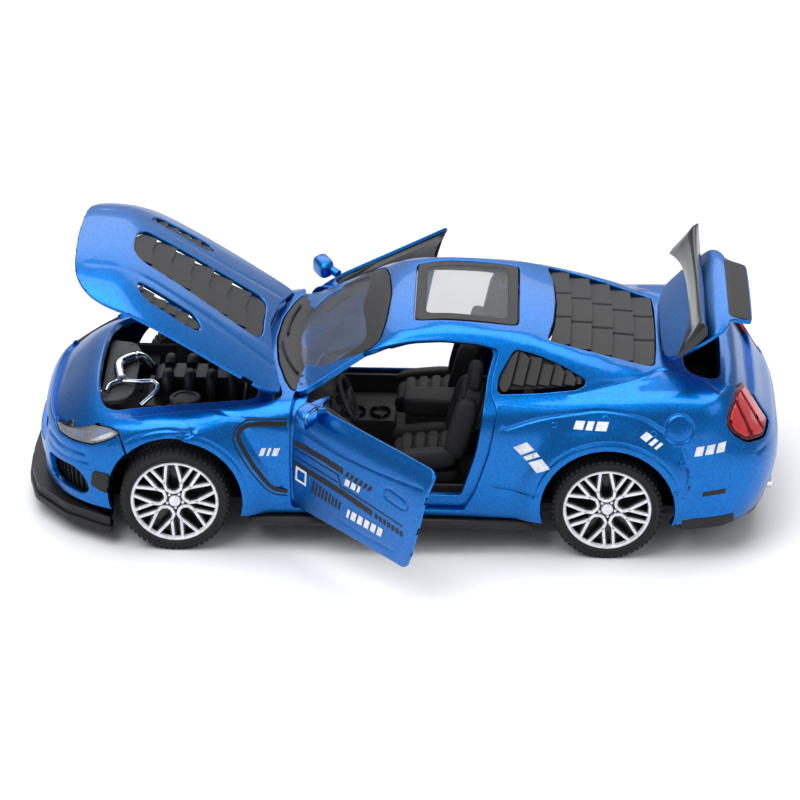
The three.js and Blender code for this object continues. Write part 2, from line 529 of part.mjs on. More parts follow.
// ---------------------------------------------------------------- axles, wheels and drive
const wheelProfile = [[0, WHEEL_IN + 0.5], [2.7, WHEEL_IN + 0.5], [2.7, 26.4], [7.2, 26.4], [7.2, WHEEL_IN],
  [RIM_R, WHEEL_IN], [RIM_R, WHEEL_OUT - 0.3], [7.6, WHEEL_OUT - 0.3], [7.2, 29.2], [0, 28.6]];
const TREAD_R = TYRE_R / Math.cos(Math.PI / ROUND); // corner radius whose flats are TYRE_R from the axle
const tyreProfile = [[RIM_R + 0.3, WHEEL_IN], [TREAD_R - 0.3, WHEEL_IN], [TREAD_R, WHEEL_IN + 0.7],
  [TREAD_R, WHEEL_OUT - 0.8], [10.2, WHEEL_OUT], [RIM_R + 0.3, WHEEL_OUT], [RIM_R + 0.3, WHEEL_IN]];
function wheelSet(end, x) {
  const bore = rod([x, 0, TYRE_R], [x, 26.2, TYRE_R], 1.3, 1.3, 12);
  const wheel = turned(wheelProfile, x, TYRE_R).subtract(bore);
  const tyre = turned(tyreProfile, x, TYRE_R);
  put(end + "_wheel_right", wheel, ALLOY);
  put(end + "_wheel_left", mirrored(wheel), ALLOY);
  put(end + "_tyre_right", tyre, RUBBER);
  put(end + "_tyre_left", mirrored(tyre), RUBBER);
  put(end + "_axle", rod([x, -25.9, TYRE_R], [x, 25.9, TYRE_R], 1, 1, 12), STEEL);
}
wheelSet("front", AXLE_F);
wheelSet("rear", AXLE_R);

const GEAR_R = 3.5;
const TEETH = 12;
function gear() {
  const points = [];
  for (let i = 0; i < TEETH * 2; i += 1) {
    const r = i % 2 ? GEAR_R : GEAR_R - 0.7;
    const at = (turn) => [AXLE_R + r * Math.cos(turn), TYRE_R + r * Math.sin(turn)];
    const step = Math.PI / TEETH;
    points.push(at((i - 0.28) * step), at((i + 0.28) * step));
  }
  const bore = rod([AXLE_R, -9, TYRE_R], [AXLE_R, 9, TYRE_R], 1.3, 1.3, 12);
  return alongY(points, -1.6, 1.6).subtract(bore);
}
put("drive_gear", gear(), BRASS);
const motorCase = box(AXLE_R - 8, AXLE_R + 8, -6.6, 6.6, PAN_TOP + SNUG, 17.4)
  .subtract(box(AXLE_R - 6.8, AXLE_R + 6.8, -5.4, 5.4, 0, 16.2))
  .subtract(rod([AXLE_R, -9, TYRE_R], [AXLE_R, 9, TYRE_R], 1.4, 1.4, 16));
put("pullback_motor_case", motorCase, BLACK);

// ---------------------------------------------------------------- engine bay
const TUB_LOW = PAN_TOP + SNUG;
const TRAY_LOW = 14; // underside of the engine bay floor
const screwBores = (places) => join(...places.map(([x, y]) => rod([x, y, 0], [x, y, 12.4], 1.1, 1.1, 10)));
const boss = (x, y, top) => rod([x, y, TUB_LOW], [x, y, top], 2, 2, 12);
function engineTray() {
  let tray = box(-61, -25, -19.6, 19.6, TRAY_LOW, 21);
  tray = tray.subtract(box(-59.8, -26.2, -18.4, 18.4, TRAY_LOW + 1, 30));
  const tower = (y) => rod([AXLE_F, y, TRAY_LOW + 0.5], [AXLE_F, y, 24.4], 3.2, 3, 14);
  const towers = SIDES.map((s) => tower(s * 15.2));
  const posts = SCREWS.slice(0, 2).map(([x, y]) => boss(x, y, TRAY_LOW + 0.5));
  const legs = SIDES.map((s) => box(-27, -25, s * 12 - 2, s * 12 + 2, TUB_LOW, TRAY_LOW + 0.5));
  tray = join(tray, ...towers, ...posts, ...legs);
  return biggest(tray.subtract(screwBores(SCREWS.slice(0, 2))));
}
put("engine_bay_tray", engineTray(), BLACK);
const TRAY_TOP = TRAY_LOW + 1 + SNUG; // what stands on the tray starts here
const runner = (i) => {
  const [x0, x1] = [-48.6 + 4.4 * i, -45.8 + 4.4 * i];
  return [box(x0, x1, 3, 6.4, 22.6, 26), box(x0, x1, -6.4, -3, 22.6, 26)];
};
const runners = [0, 1, 2, 3].flatMap(runner);
const block = box(-52, -31.4, -7, 7, TRAY_TOP, 20);
put("engine", join(block, box(-50.4, -32, -5, 5, 19.5, 24.6), ...runners), BLACK);
const coverOutline = [[-60.2, -14], [-60.2, 14], [-55, 13], [-53.4, 9], [-53.4, -9], [-55, -13]];
const radiator = box(-59.4, -57.6, -13, 13, TRAY_TOP, 23.2);
put("radiator_cover", alongZ(coverOutline, 23, 24.2).add(radiator), TRIM);
put("intake_pipe", tube([[-56.4, -9.2, 17.5], [-56.2, -8.8, 20.8], [-55.2, -6.6, 21.6], [-53.4, -4.2, 21.9],
  [-51.2, -3.4, 21.9]], 1.1), CHROME);

// ---------------------------------------------------------------- cabin
function cabinTub() {
  const FLOOR = 8.2;
  let tub = box(-23, 25.6, -24.4, 24.4, TUB_LOW, 12.4).subtract(box(-21.8, 24.4, -23.2, 23.2, FLOOR, 20));
  tub = tub.add(box(25, 51, -19.8, 19.8, 18.4, 19.6));
  const tunnel = box(-20, 25.2, -3.6, 3.6, FLOOR - 0.4, 14);
  const armrest = box(0, 15, -3.4, 3.4, 13.8, 20.4);
  const cups = [-9.4, -4.6].map((x) => rod([x, 0, 12.4], [x, 0, 20], 1.9, 1.9, 12));
  const cupBlock = box(-12.4, -1.6, -3.4, 3.4, 13.8, 15.6);
  tub = join(tub, tunnel, armrest, cupBlock);
  cups.forEach((c) => {
    tub = tub.subtract(c);
  });
  const benchSide = [[24.6, FLOOR - 0.2], [24.6, 18.8], [35.6, 18.8], [40.4, 30.4], [43.2, 30.4],
    [38.6, 17.8], [27, 17.6], [27, FLOOR - 0.2]];
  const bench = alongY(benchSide, -19.6, 19.6);
  return biggest(tub.add(bench));
}
put("cabin_tub", cabinTub(), BLACK);
const seatSide = [[-1.4, 9.2], [-2.6, 13.6], [-1.6, 15], [8, 13.6], [13.4, 27.4], [14.2, 33.4], [16.6, 33.6],
  [17.4, 30], [15.4, 20], [12.6, 9.2]];
function seat() {
  const whole = alongY(seatSide, 5.2, 19.4);
  const dish = alongY(seatSide.map(([x, z]) => [x - 1.1, z + 1]), 8.4, 16.2);
  const besideHead = [[11, 28.6], [11, 40], [20, 40], [20, 28.6]];
  const head = join(alongY(besideHead, 4, 8.2), alongY(besideHead, 16.4, 22));
  return biggest(whole.subtract(dish.intersect(box(-8, 14, 0, 30, 13.6, 26.6))).subtract(head));
}
put("seat_right", seat(), BLACK);
put("seat_left", mirrored(seat()), BLACK);
const dashSide = [[-20.4, 20], [-20.4, 28.4], [-18.6, 29.4], [-15.4, 29], [-14, 27.4], [-14.2, 24],
  [-16.6, 20.6]];
put("dashboard", alongY(dashSide, -21.4, 21.4), BLACK);
function steeringWheel() {
  const hub = v3(-10.6, -12, 25.2);
  const g = new THREE.TorusGeometry(4.6, 0.62, 5, 12);
  const turn = new THREE.Quaternion().setFromUnitVectors(v3(0, 0, 1), v3(1, 0, 0.42).normalize());
  g.applyQuaternion(turn).translate(...hub.toArray());
  const spoke = (a) => {
    const d = v3(4.4 * Math.cos(a), 4.4 * Math.sin(a), 0).applyQuaternion(turn);
    return rod(hub.toArray(), hub.clone().add(d).toArray(), 0.7, 0.6, 6);
  };
  const axis = v3(1, 0, 0.42).normalize();
  const back = hub.clone().sub(axis.clone().multiplyScalar(2.6));
  return join(solidOf(g), spoke(0), spoke(Math.PI / 2), spoke(-Math.PI / 2),
    rod(back.toArray(), hub.clone().add(axis.multiplyScalar(0.7)).toArray(), 1, 1.5, 8));
}
put("steering_wheel", steeringWheel(), BLACK);

const trunkHollow = alongZ(grown(trunkOutline, -0.9), 21, 40);
const trunk = alongZ(grown(trunkOutline, 0.2), 19.9, 31.6).subtract(trunkHollow);
const trunkPosts = SCREWS.slice(2).map(([x, y]) => boss(x, y, 20.4));
const trunkTub = join(trunk, ...trunkPosts).subtract(screwBores(SCREWS.slice(2)));
put("trunk_tub", trunkTub, BLACK);

// ---------------------------------------------------------------- opening panels
const bonnet = hinged(HOOD_HINGE[0], 0, HOOD_HINGE[1], [0, 1, 0], HOOD_OPEN);
const hoodSkin = biggest(panelSkin.intersect(alongZ(hoodOutline, 22.9, 60)));
const sideVentCut = alongZ(grown(sideVentOutline, SNUG), 15, HIGH);
const centreVentCut = alongZ(grown(centreVentOutline, SNUG), 15, HIGH);
const hoodCuts = join(centreVentCut, sideVentCut, mirrored(sideVentCut));
const hoodArmSide = [[-28.6, 30.6], [-28.6, 28.8], [-27.2, 27.8], [-25.2, 28.4], [-24.7, 29.6],
  [-24.8, 30.6]];
const hoodArm = (y) => alongY(hoodArmSide, y - 0.8, y + 0.8);
const hoodArms = join(hoodArm(HOOD_ARM_Y), hoodArm(-HOOD_ARM_Y));
put("hood_panel", biggest(hoodSkin.subtract(hoodCuts).add(hoodArms)), BLUE, bonnet);
put("hood_centre_vent", biggest(panelSkin.intersect(alongZ(centreVentOutline, 22, 60))), TRIM, bonnet);
const sideVent = biggest(panelSkin.intersect(alongZ(sideVentOutline, 22, 60)));
put("hood_side_vent_right", sideVent, TRIM, bonnet);
put("hood_side_vent_left", mirrored(sideVent), TRIM, bonnet);

const DOOR_TOP_Y = 24.4; // nothing of a door lies inboard of this |y|
const belowBelt = (fromY, topZ) => box(-40, 40, fromY, 40, 5, topZ);
const doorSide = panelSkin.intersect(alongY(doorOutline, 17, 40));
const doorSkin = biggest(doorSide.intersect(belowBelt(DOOR_TOP_Y, 32.1)));
const cardLayer = layer(PANEL + SNUG, LEDGE, COARSE);
const doorBack = cardLayer.intersect(alongY(grown(cabinOpening, -0.5), 17, 40));
const doorCard = biggest(doorBack.intersect(belowBelt(DOOR_TOP_Y - 1, 31.3)));
function mirrorHousing() {
  const g = new THREE.SphereGeometry(1, 12, 8);
  g.scale(2.3, 2.8, 1.7).translate(-14.6, 30, 32.7);
  const flatBack = box(-13.4, -8, 20, 40, 28, 40);
  const foot = rod([-15, 26.2, 31.8], [-15, 29.4, 32.2], 1, 1.1, 8);
  return biggest(join(solidOf(g), foot).subtract(flatBack).subtract(bodySolid(-SNUG, SILL_Z)));
}
[["right", 1], ["left", -1]].forEach(([name, side]) => {
  const door = hinged(DOOR_HINGE[0], side * DOOR_HINGE[1], 0, [0, 0, 1], side * DOOR_OPEN);
  const turn = (solid) => (side > 0 ? solid : mirrored(solid));
  put("door_skin_" + name, turn(doorSkin), BLUE, door);
  put("door_card_" + name, turn(doorCard), TRIM, door);
  put("door_mirror_" + name, turn(mirrorHousing()), BLUE_PLASTIC, door);
});

const boot = hinged(LID_HINGE[0], 0, LID_HINGE[1], [0, 1, 0], -LID_OPEN);
const lidRearPanel = [[-12.4, 28.9], [-12.4, 32.6], [12.4, 32.6], [12.4, 28.9]];
const lidSkin = panelSkin.intersect(join(alongZ(lidOutline, LID_LOW, HIGH), alongX(lidRear, 62, 90)));
const lidArmSide = [[54.4, 34.8], [54.4, 33.6], [51.6, 32.4], [50.4, 32.6], [50.2, 33.6], [51.4, 34],
  [53, 34.9]];
const lidArm = alongY(lidArmSide, -LID_ARM_HALF, LID_ARM_HALF);
const lidFrame = lidSkin.subtract(alongX(grown(lidRearPanel, SNUG), 60, 90));
put("trunk_lid", biggest(lidFrame.add(lidArm)), BLUE, boot);
put("lid_rear_panel", biggest(lidSkin.intersect(alongX(lidRearPanel, 62, 90))), TRIM, boot);
function wing() {
  const rows = 15;
  const half = 24;
  const section = [[0, 0], [1.6, 0.7], [3.8, 1.5], [4, 0.9], [2.2, -0.1], [0.6, -0.5]];
  const positions = [];
  const index = [];
  for (let i = 0; i < rows; i += 1) {
    const s = (2 * i) / (rows - 1) - 1;
    const end = Math.abs(s);
    const y = half * s;
    const x = 60 - 3.4 * end ** 3;
    const z = 36.3 + 0.6 * end ** 2;
    const [long, tall] = [1 + 1.2 * end ** 3, 1 + 0.5 * end ** 2];
    section.forEach(([a, b]) => positions.push(x + a * long, y, z + b * tall));
  }
  const m = section.length;
  for (let i = 0; i < rows - 1; i += 1) {
    for (let j = 0; j < m; j += 1) {
      const a = i * m + j;
      const b = i * m + ((j + 1) % m);
      index.push(a, a + m, b, b, a + m, b + m);
    }
  }
  for (let j = 1; j < m - 1; j += 1) {
    index.push(0, j, j + 1);
    const e = (rows - 1) * m;
    index.push(e, e + j + 1, e + j);
  }
  const g = new THREE.BufferGeometry();
  g.setAttribute("position", new THREE.Float32BufferAttribute(positions, 3));
  g.setIndex(index);
  const blade = solidOf(g).volume() > 0 ? solidOf(g) : solidOf(flip(g));
  const post = (y) => box(60.6, 62.6, y - 0.6, y + 0.6, 34.4, 36.8);
  return biggest(join(blade, post(14), post(-14)).subtract(bodySolid(-SNUG, SILL_Z)));
}
put("rear_wing", wing(), TRIM, boot);

export default car;
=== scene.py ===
import json
import math

import bpy
import numpy as np
from mathutils import Matrix, Vector
from mathutils.geometry import delaunay_2d_cdt

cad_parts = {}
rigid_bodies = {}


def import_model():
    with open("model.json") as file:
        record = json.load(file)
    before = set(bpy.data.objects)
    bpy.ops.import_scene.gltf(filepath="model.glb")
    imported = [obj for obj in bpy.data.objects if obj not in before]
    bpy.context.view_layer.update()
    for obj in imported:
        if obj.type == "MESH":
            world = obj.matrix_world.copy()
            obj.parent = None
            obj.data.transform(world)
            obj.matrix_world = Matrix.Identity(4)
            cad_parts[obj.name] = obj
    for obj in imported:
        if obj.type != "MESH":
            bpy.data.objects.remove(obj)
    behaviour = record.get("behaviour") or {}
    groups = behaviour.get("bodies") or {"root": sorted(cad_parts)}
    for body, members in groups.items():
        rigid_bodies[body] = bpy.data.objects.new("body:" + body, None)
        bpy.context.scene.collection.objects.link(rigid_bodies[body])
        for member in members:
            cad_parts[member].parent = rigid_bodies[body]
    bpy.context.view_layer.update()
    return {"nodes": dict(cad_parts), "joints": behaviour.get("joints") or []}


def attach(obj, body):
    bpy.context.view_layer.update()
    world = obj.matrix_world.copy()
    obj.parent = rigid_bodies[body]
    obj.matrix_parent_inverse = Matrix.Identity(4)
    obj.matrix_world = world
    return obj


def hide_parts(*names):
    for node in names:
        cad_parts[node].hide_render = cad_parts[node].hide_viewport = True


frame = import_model()

# %% [markdown]
# # A small die-cast car with everything open
# The object is a 1:32 collector car: a two-door fastback cast in zinc alloy and painted metallic
# blue, with an opening bonnet, two opening doors and an opening boot lid. The frame already holds
# its mechanics. This script lays the visible surfaces around that frame.
# All lengths below are in millimetres and are turned into metres when a mesh is made.
# The nose points to -X, the left side to -Y, and the ground is z = 0.

# %% Units and the joints of the frame
MM = 0.001
RAD = math.pi / 180
JOINTS = {joint["name"]: joint for joint in frame["joints"]}


def opened(name):
    """The matrix that takes a closed panel to the open place it has at rest."""
    joint = JOINTS[name]
    pivot = Vector(joint["pos_m"]) / MM
    angle = -joint["range_deg"][0] * RAD
    turn = Matrix.Rotation(angle, 4, Vector(joint["axis"]))
    return np.array(Matrix.Translation(pivot) @ turn @ Matrix.Translation(-pivot))


# %% [markdown]
# ## The form of the body
# A die-cast body is one smooth form that the shut lines are cut into afterwards, so the panels
# always run on into each other. The same idea works here. A few curves along the car give the
# height of the bonnet, the roof, the belt and the width of the sides. They join into one field
# that is negative inside the body. Every outer panel is a patch of its zero surface.

# %% Curves of the body
CORE_Z = 16
ARCH_R = 13.2
ARCH_Z = 11.3
SILL_Z = 7.6
AXLE_F = -44
AXLE_R = 41
PLAN_Y = 30
GAP = 0.42
FIT = 0.25
PANEL = 0.75
CAST = 1.15
NOSE_ROUND = (28, 2.5)
TAIL_ROUND = (22, 3.5)
SIDES = {1: "right", -1: "left"}
RIGHTWARD, UPWARD = (0, 1, 0), (0, 0, 1)


def curve(*points):
    """A smooth curve through (position, value) points, straight beyond both ends."""
    xs = np.array([p[0] for p in points], float)
    ys = np.array([p[1] for p in points], float)
    slope = np.empty(len(xs))
    slope[1:-1] = (ys[2:] - ys[:-2]) / (xs[2:] - xs[:-2])
    slope[0] = (ys[1] - ys[0]) / (xs[1] - xs[0])
    slope[-1] = (ys[-1] - ys[-2]) / (xs[-1] - xs[-2])

    def at(x):
        x = np.asarray(x, float)
        i = np.clip(np.searchsorted(xs, x) - 1, 0, len(xs) - 2)
        width = xs[i + 1] - xs[i]
        t = np.clip((x - xs[i]) / width, 0, 1)
        start = (1 + 2 * t) * (1 - t) ** 2 * ys[i] + t * (1 - t) ** 2 * width * slope[i]
        end = t * t * (3 - 2 * t) * ys[i + 1] + t * t * (t - 1) * width * slope[i + 1]
        before = np.minimum(x - xs[0], 0) * slope[0]
        after = np.maximum(x - xs[-1], 0) * slope[-1]
        return start + end + before + after

    return at


bonnet_centre = curve((-73, 19.5), (-70, 23), (-67, 25.4), (-63.5, 27.6), (-60, 28.9), (-50, 30.2),
                      (-40, 31), (-30, 31.7), (-22, 32.2), (0, 33), (30, 34.2), (45, 35.4), (52, 35.6),
                      (60, 35), (66.5, 34.2), (72, 33))
bonnet_edge = curve((-73, 18.5), (-70, 20.5), (-62.8, 24), (-55, 26.4), (-46, 28), (-36, 29.2),
                    (-26.5, 30.2), (-20, 31.2), (-10, 31.9), (10, 32.2), (25, 32.7), (41, 33.4),
                    (52, 33.8), (65, 33.5), (72, 32.8))
roof_line = curve((-24, 30), (-4, 42.1), (2.6, 43.6), (10, 44.2), (22.8, 43.2), (29.4, 41.8),
                  (40, 38.9), (50.3, 35.5), (58, 32.5))
cabin_half = curve((-24, 26.4), (0, 26.6), (18, 26.3), (30, 25.2), (40, 23.4), (50, 20.5), (60, 16))
belt_line = curve((-24, 31.4), (0, 32), (19, 32.4), (36, 33.6), (50, 34))
plan_half = curve((-76, 29.2), (-44, 29.8), (-15, 29.1), (10, 29.3), (41, 30.4), (76, 29.8))
tuck = curve((4, 2.4), (7, 1.2), (10, 0.4), (14, 0), (20, 0), (25, 0.3), (28, 0.9), (31, 2.1),
             (33, 3.3), (36, 5.6))
nose_profile = curve((3, -71), (8, -72.3), (14, -73), (19, -72.7), (22, -71.4), (24, -69.4), (28, -64))
tail_profile = curve((4, 70.5), (9, 73.4), (14, 75), (19, 75.2), (22.5, 74), (25, 72.2), (28, 70.4),
                     (31.5, 68.2), (34, 66.8), (38, 65))


def smooth_max(a, b, k):
    return np.maximum(a, b) + np.maximum(k - np.abs(a - b), 0) ** 2 / (4 * k)


def smooth_min(a, b, k):
    return -smooth_max(-a, -b, k)


def ease(t):
    t = np.clip(t, 0, 1)
    return t * t * (3 - 2 * t)


def top_height(x, y):
    y = np.abs(y)
    centre = bonnet_centre(x)
    lower = centre - (centre - bonnet_edge(x)) * (y / 25) ** 2.6
    roof = roof_line(x) - 1.3 * (y / 20) ** 2
    foot = -25.8 + 5 * (y / 25) ** 2
    screen = 31.6 + (x - foot) * 0.485 - 0.9 * (y / 20) ** 2
    side = belt_line(x) + (cabin_half(x) - y) / 0.82
    cabin = smooth_min(smooth_min(roof, screen, 1.2), side, 2.2)
    return smooth_max(lower, cabin, 1)


def side_half(x, z):
    half = plan_half(x) - tuck(z)
    for axle in (AXLE_F, AXLE_R):
        r = np.hypot(x - axle, z - ARCH_Z)
        half = half + 1.5 * ease((19.5 - r) / 5.5)
    return half


def fall_back(y, depth, power):
    t = np.minimum(np.abs(y) / PLAN_Y, 0.9995)
    return depth * (1 - (1 - t ** power) ** (1 / power))


def field(p):
    """Negative inside the body, roughly in millimetres."""
    x, y, z = p[:, 0], p[:, 1], p[:, 2]
    h = 0.4
    top = top_height(x, y)
    gx = (top_height(x + h, y) - top) / h
    gy = (top_height(x, np.abs(y) + h) - top) / h
    over = (z - top) / np.sqrt(1 + gx * gx + gy * gy)
    flank = np.abs(y) - side_half(x, z)
    nose, tail = fall_back(y, *NOSE_ROUND), fall_back(y, *TAIL_ROUND)
    ny = (fall_back(np.abs(y) + h, *NOSE_ROUND) - nose) / h
    ty = (fall_back(np.abs(y) + h, *TAIL_ROUND) - tail) / h
    ahead = (nose_profile(z) + nose - x) / np.hypot(1, np.minimum(ny, 6))
    behind = (x - tail_profile(z) + tail) / np.hypot(1, np.minimum(ty, 6))
    sides = smooth_max(over, flank, 2.4)
    return smooth_max(sides, smooth_max(ahead, behind, 1), 1.4)


def outward(p, h=0.12):
    """Unit normals of the body at points."""
    n = np.empty_like(p)
    for k in range(3):
        step = np.zeros(3)
        step[k] = h
        n[:, k] = field(p + step) - field(p - step)
    return n / np.linalg.norm(n, axis=1)[:, None]


print("roof height", round(float(top_height(np.array([10.0]), np.array([0.0]))[0]), 2))

# %% [markdown]
# ## Charts
# A flat outline has to land on the curved body. A chart is a family of rays that leave the core
# of the car: straight up for the bonnet, sideways for a door, fanned out round the whole section
# for the shell. An outline is drawn flat in one chart, followed out to the surface, and can then be
# read back in any other chart. Two neighbouring pieces therefore share their edge exactly.

# %% Ray charts
HOOP_R = 24
TURN_R = 28


def rays(origin, direction, back):
    return {"origin": origin, "direction": direction, "back": back}


def stack(*columns):
    return np.stack(np.broadcast_arrays(*columns), axis=1).astype(float)


def hoop_angle(v):
    return math.pi / 2 - v / HOOP_R


def hoop_back(p):
    a = np.arctan2(p[:, 2] - CORE_Z, p[:, 1])
    a = np.where(a < -math.pi / 2, a + 2 * math.pi, a)
    return stack(p[:, 0], (math.pi / 2 - a) * HOOP_R)


HOOP = rays(lambda q: stack(q[:, 0], 0, CORE_Z),
            lambda q: stack(0, np.cos(hoop_angle(q[:, 1])), np.sin(hoop_angle(q[:, 1]))), hoop_back)
OVER = rays(lambda q: stack(q[:, 0], q[:, 1], CORE_Z), lambda q: stack(0, 0, np.ones(len(q))),
            lambda p: p[:, :2].copy())


def sideways(side):
    return rays(lambda q: stack(q[:, 0], 0, q[:, 1]), lambda q: stack(0, side * np.ones(len(q)), 0),
                lambda p: stack(p[:, 0], p[:, 2]))


def turning(x, way):
    """Rays that turn about an upright axis at x; way is -1 for the nose and 1 for the tail."""
    return rays(lambda q: stack(x, 0, q[:, 1]),
                lambda q: stack(way * np.cos(q[:, 0] / TURN_R), np.sin(q[:, 0] / TURN_R), 0),
                lambda p: stack(np.arctan2(p[:, 1], way * (p[:, 0] - x)) * TURN_R, p[:, 2]))


def straight(x, way):
    """Rays along X from a plane at x; the flat coordinates are y and z."""
    return rays(lambda q: stack(x, q[:, 0], q[:, 1]), lambda q: stack(way * np.ones(len(q)), 0, 0),
                lambda p: p[:, 1:].copy())


def fanned(x, z, radius):
    """Rays that fan in the X-Z plane from a line along Y."""
    return rays(lambda q: stack(x, q[:, 0], z),
                lambda q: stack(-np.sin(q[:, 1] / radius), 0, np.cos(q[:, 1] / radius)),
                lambda p: stack(p[:, 1], np.arctan2(x - p[:, 0], p[:, 2] - z) * radius))


def domed(x, y, z, radius=14):
    """Rays from one point; the flat coordinates are turn and rise."""
    def direction(q):
        turn, rise = q[:, 0] / radius, q[:, 1] / radius
        return stack(np.cos(turn) * np.cos(rise), np.sin(turn) * np.cos(rise), np.sin(rise))

    def back(p):
        d = p - np.array([x, y, z])
        flat = np.hypot(d[:, 0], d[:, 1])
        turn = np.arctan2(d[:, 1], d[:, 0])
        turn = np.where(turn < -math.pi / 2, turn + 2 * math.pi, turn)
        return stack(turn * radius, np.arctan2(d[:, 2], flat) * radius)

    return rays(lambda q: stack(x * np.ones(len(q)), y, z), direction, back)


SIDE = {1: sideways(1), -1: sideways(-1)}
NOSE = turning(-45, -1)
TAIL = turning(45, 1)
AHEAD = straight(-52, -1)
BEHIND = straight(52, 1)


def lift(chart, flat, depth=0.0):
    """The points where the rays of flat coordinates reach the surface at a depth."""
    flat = np.asarray(flat, float)
    origin, direction = chart["origin"](flat), chart["direction"](flat)
    near, far = np.zeros(len(flat)), np.full(len(flat), 90.0)
    for _ in range(30):
        middle = (near + far) / 2
        inside = field(origin + direction * middle[:, None]) < -depth
        near = np.where(inside, middle, near)
        far = np.where(inside, far, middle)
    return origin + direction * near[:, None]


def read(chart, points):
    return chart["back"](np.asarray(points, float))


print("nose tip", lift(AHEAD, [[0, 14]]).round(2).tolist())

# %% [markdown]
# ## From an outline to a panel
# A pressed or cast panel is a thin skin with a small radius where it turns in at the shut line.
# Light catches that radius, and it is what makes a gap read as a gap. Each panel is therefore
# triangulated inside its outline, laid on the body, rolled over at its edge and closed by a wall.
# The shading normals come from the field itself, so the paint reflects evenly whatever the
# triangles do.

# %% Outline helpers
def closed(half):
    """A symmetric outline from its half with y >= 0, given from the front centre to the rear."""
    half = [tuple(p) for p in half]
    return half + [(x, -y) for x, y in reversed(half) if y > 0]


def grown(points, distance):
    """Moves a closed flat outline outwards."""
    p = np.asarray(points, float)
    following = np.roll(p, -1, axis=0)
    area = np.sum(p[:, 0] * following[:, 1] - following[:, 0] * p[:, 1])
    edge = following - p
    normal = np.stack([edge[:, 1], -edge[:, 0]], axis=1) * (1 if area > 0 else -1)
    normal /= np.linalg.norm(normal, axis=1)[:, None]
    before = np.roll(normal, 1, axis=0)
    scale = distance / np.maximum(1 + np.sum(before * normal, axis=1), 0.5)
    return p + (before + normal) * scale[:, None]


def softened(points, radius, rounds=2):
    """Rounds the corners of a closed outline."""
    p = np.asarray(points, float)
    for _ in range(rounds):
        after, before = np.roll(p, -1, axis=0), np.roll(p, 1, axis=0)
        to_after = np.linalg.norm(after - p, axis=1)[:, None]
        to_before = np.linalg.norm(before - p, axis=1)[:, None]
        a = p + (before - p) * np.minimum(radius / to_before, 0.3)
        b = p + (after - p) * np.minimum(radius / to_after, 0.3)
        p = np.stack([a, b], axis=1).reshape(-1, 2)
        radius *= 0.4
    return p


def spaced(points, step, ring=True):
    """Adds points along an outline so that none are farther apart than step."""
    p = np.asarray(points, float)
    out = []
    count = len(p) if ring else len(p) - 1
    for i in range(count):
        a, b = p[i], p[(i + 1) % len(p)]
        n = max(1, int(math.ceil(np.linalg.norm(b - a) / step)))
        out += [a + (b - a) * k / n for k in range(n)]
    if not ring:
        out.append(p[-1])
    return np.array(out)


def within(points, loops):
    """Even-odd test of points against closed outlines."""
    inside = np.zeros(len(points), bool)
    for loop in loops:
        after = np.roll(loop, -1, axis=0)
        for (x0, y0), (x1, y1) in zip(loop, after):
            if y0 == y1:
                continue
            spans = (points[:, 1] < y0) != (points[:, 1] < y1)
            crossing = x0 + (points[:, 1] - y0) * (x1 - x0) / (y1 - y0)
            inside ^= spans & (points[:, 0] < crossing)
    return inside


def far_from(points, others, distance):
    keep = np.ones(len(points), bool)
    for start in range(0, len(others), 400):
        gap = points[:, None, :] - others[None, start:start + 400, :]
        keep &= (np.hypot(gap[..., 0], gap[..., 1]) > distance).all(axis=1)
    return points[keep]


def nearest_on(points, line):
    """Distance from 3-D points to a polyline, and the unit vector away from it."""
    best = np.full(len(points), 1e9)
    away = np.zeros_like(points)
    for a, b in zip(line[:-1], line[1:]):
        ab = b - a
        t = np.clip((points - a) @ ab / max(ab @ ab, 1e-9), 0, 1)
        gap = points - (a + t[:, None] * ab)
        d = np.linalg.norm(gap, axis=1)
        closer = d < best
        best = np.where(closer, d, best)
        away[closer] = gap[closer] / np.maximum(d[closer], 1e-6)[:, None]
    return best, away


print("points of a rounded square", len(softened([(0, 0), (1, 0), (1, 1), (0, 1)], 0.1)))


# %% Skins
GROOVE_ROWS = (-1.7, -0.9, -0.35, 0, 0.35, 0.9, 1.7)
TINY = 1e-9


def groove_points(chart, grooves, rings, boundary, clear):
    """Rows of points along the grooves, and the mesh edges that could join them."""
    lines = []
    for line, _, width in grooves:
        flat = spaced(read(chart, line), 0.7, ring=False)
        along = np.gradient(flat, axis=0)
        across = np.stack([-along[:, 1], along[:, 0]], axis=1)
        across /= np.maximum(np.linalg.norm(across, axis=1), TINY)[:, None]
        lines += [flat + across * k * width for k in GROOVE_ROWS]
    points = np.zeros((0, 2))
    edges = []
    for line in lines:
        row = far_from(line[within(line, rings)], boundary, clear)
        start = len(boundary) + len(points)
        gaps = np.linalg.norm(np.diff(row, axis=0), axis=1) if len(row) > 1 else []
        edges += [(start + i, start + i + 1) for i, gap in enumerate(gaps) if gap < 1.0]
        points = np.concatenate([points, row])
    return points, edges


def grid_points(rings, boundary, step, clear):
    """A triangular grid of points inside the outlines."""
    lo, hi = boundary.min(axis=0), boundary.max(axis=0)
    across = np.arange(lo[0] + step / 2, hi[0], step)
    rows = []
    for k, v in enumerate(np.arange(lo[1] + step / 2, hi[1], step * 0.87)):
        rows.append(stack(across + (k % 2) * step / 2, v))
    grid = np.concatenate(rows) if rows else np.zeros((0, 2))
    if len(grid):
        grid = far_from(grid[within(grid, rings)], boundary, clear)
    return grid


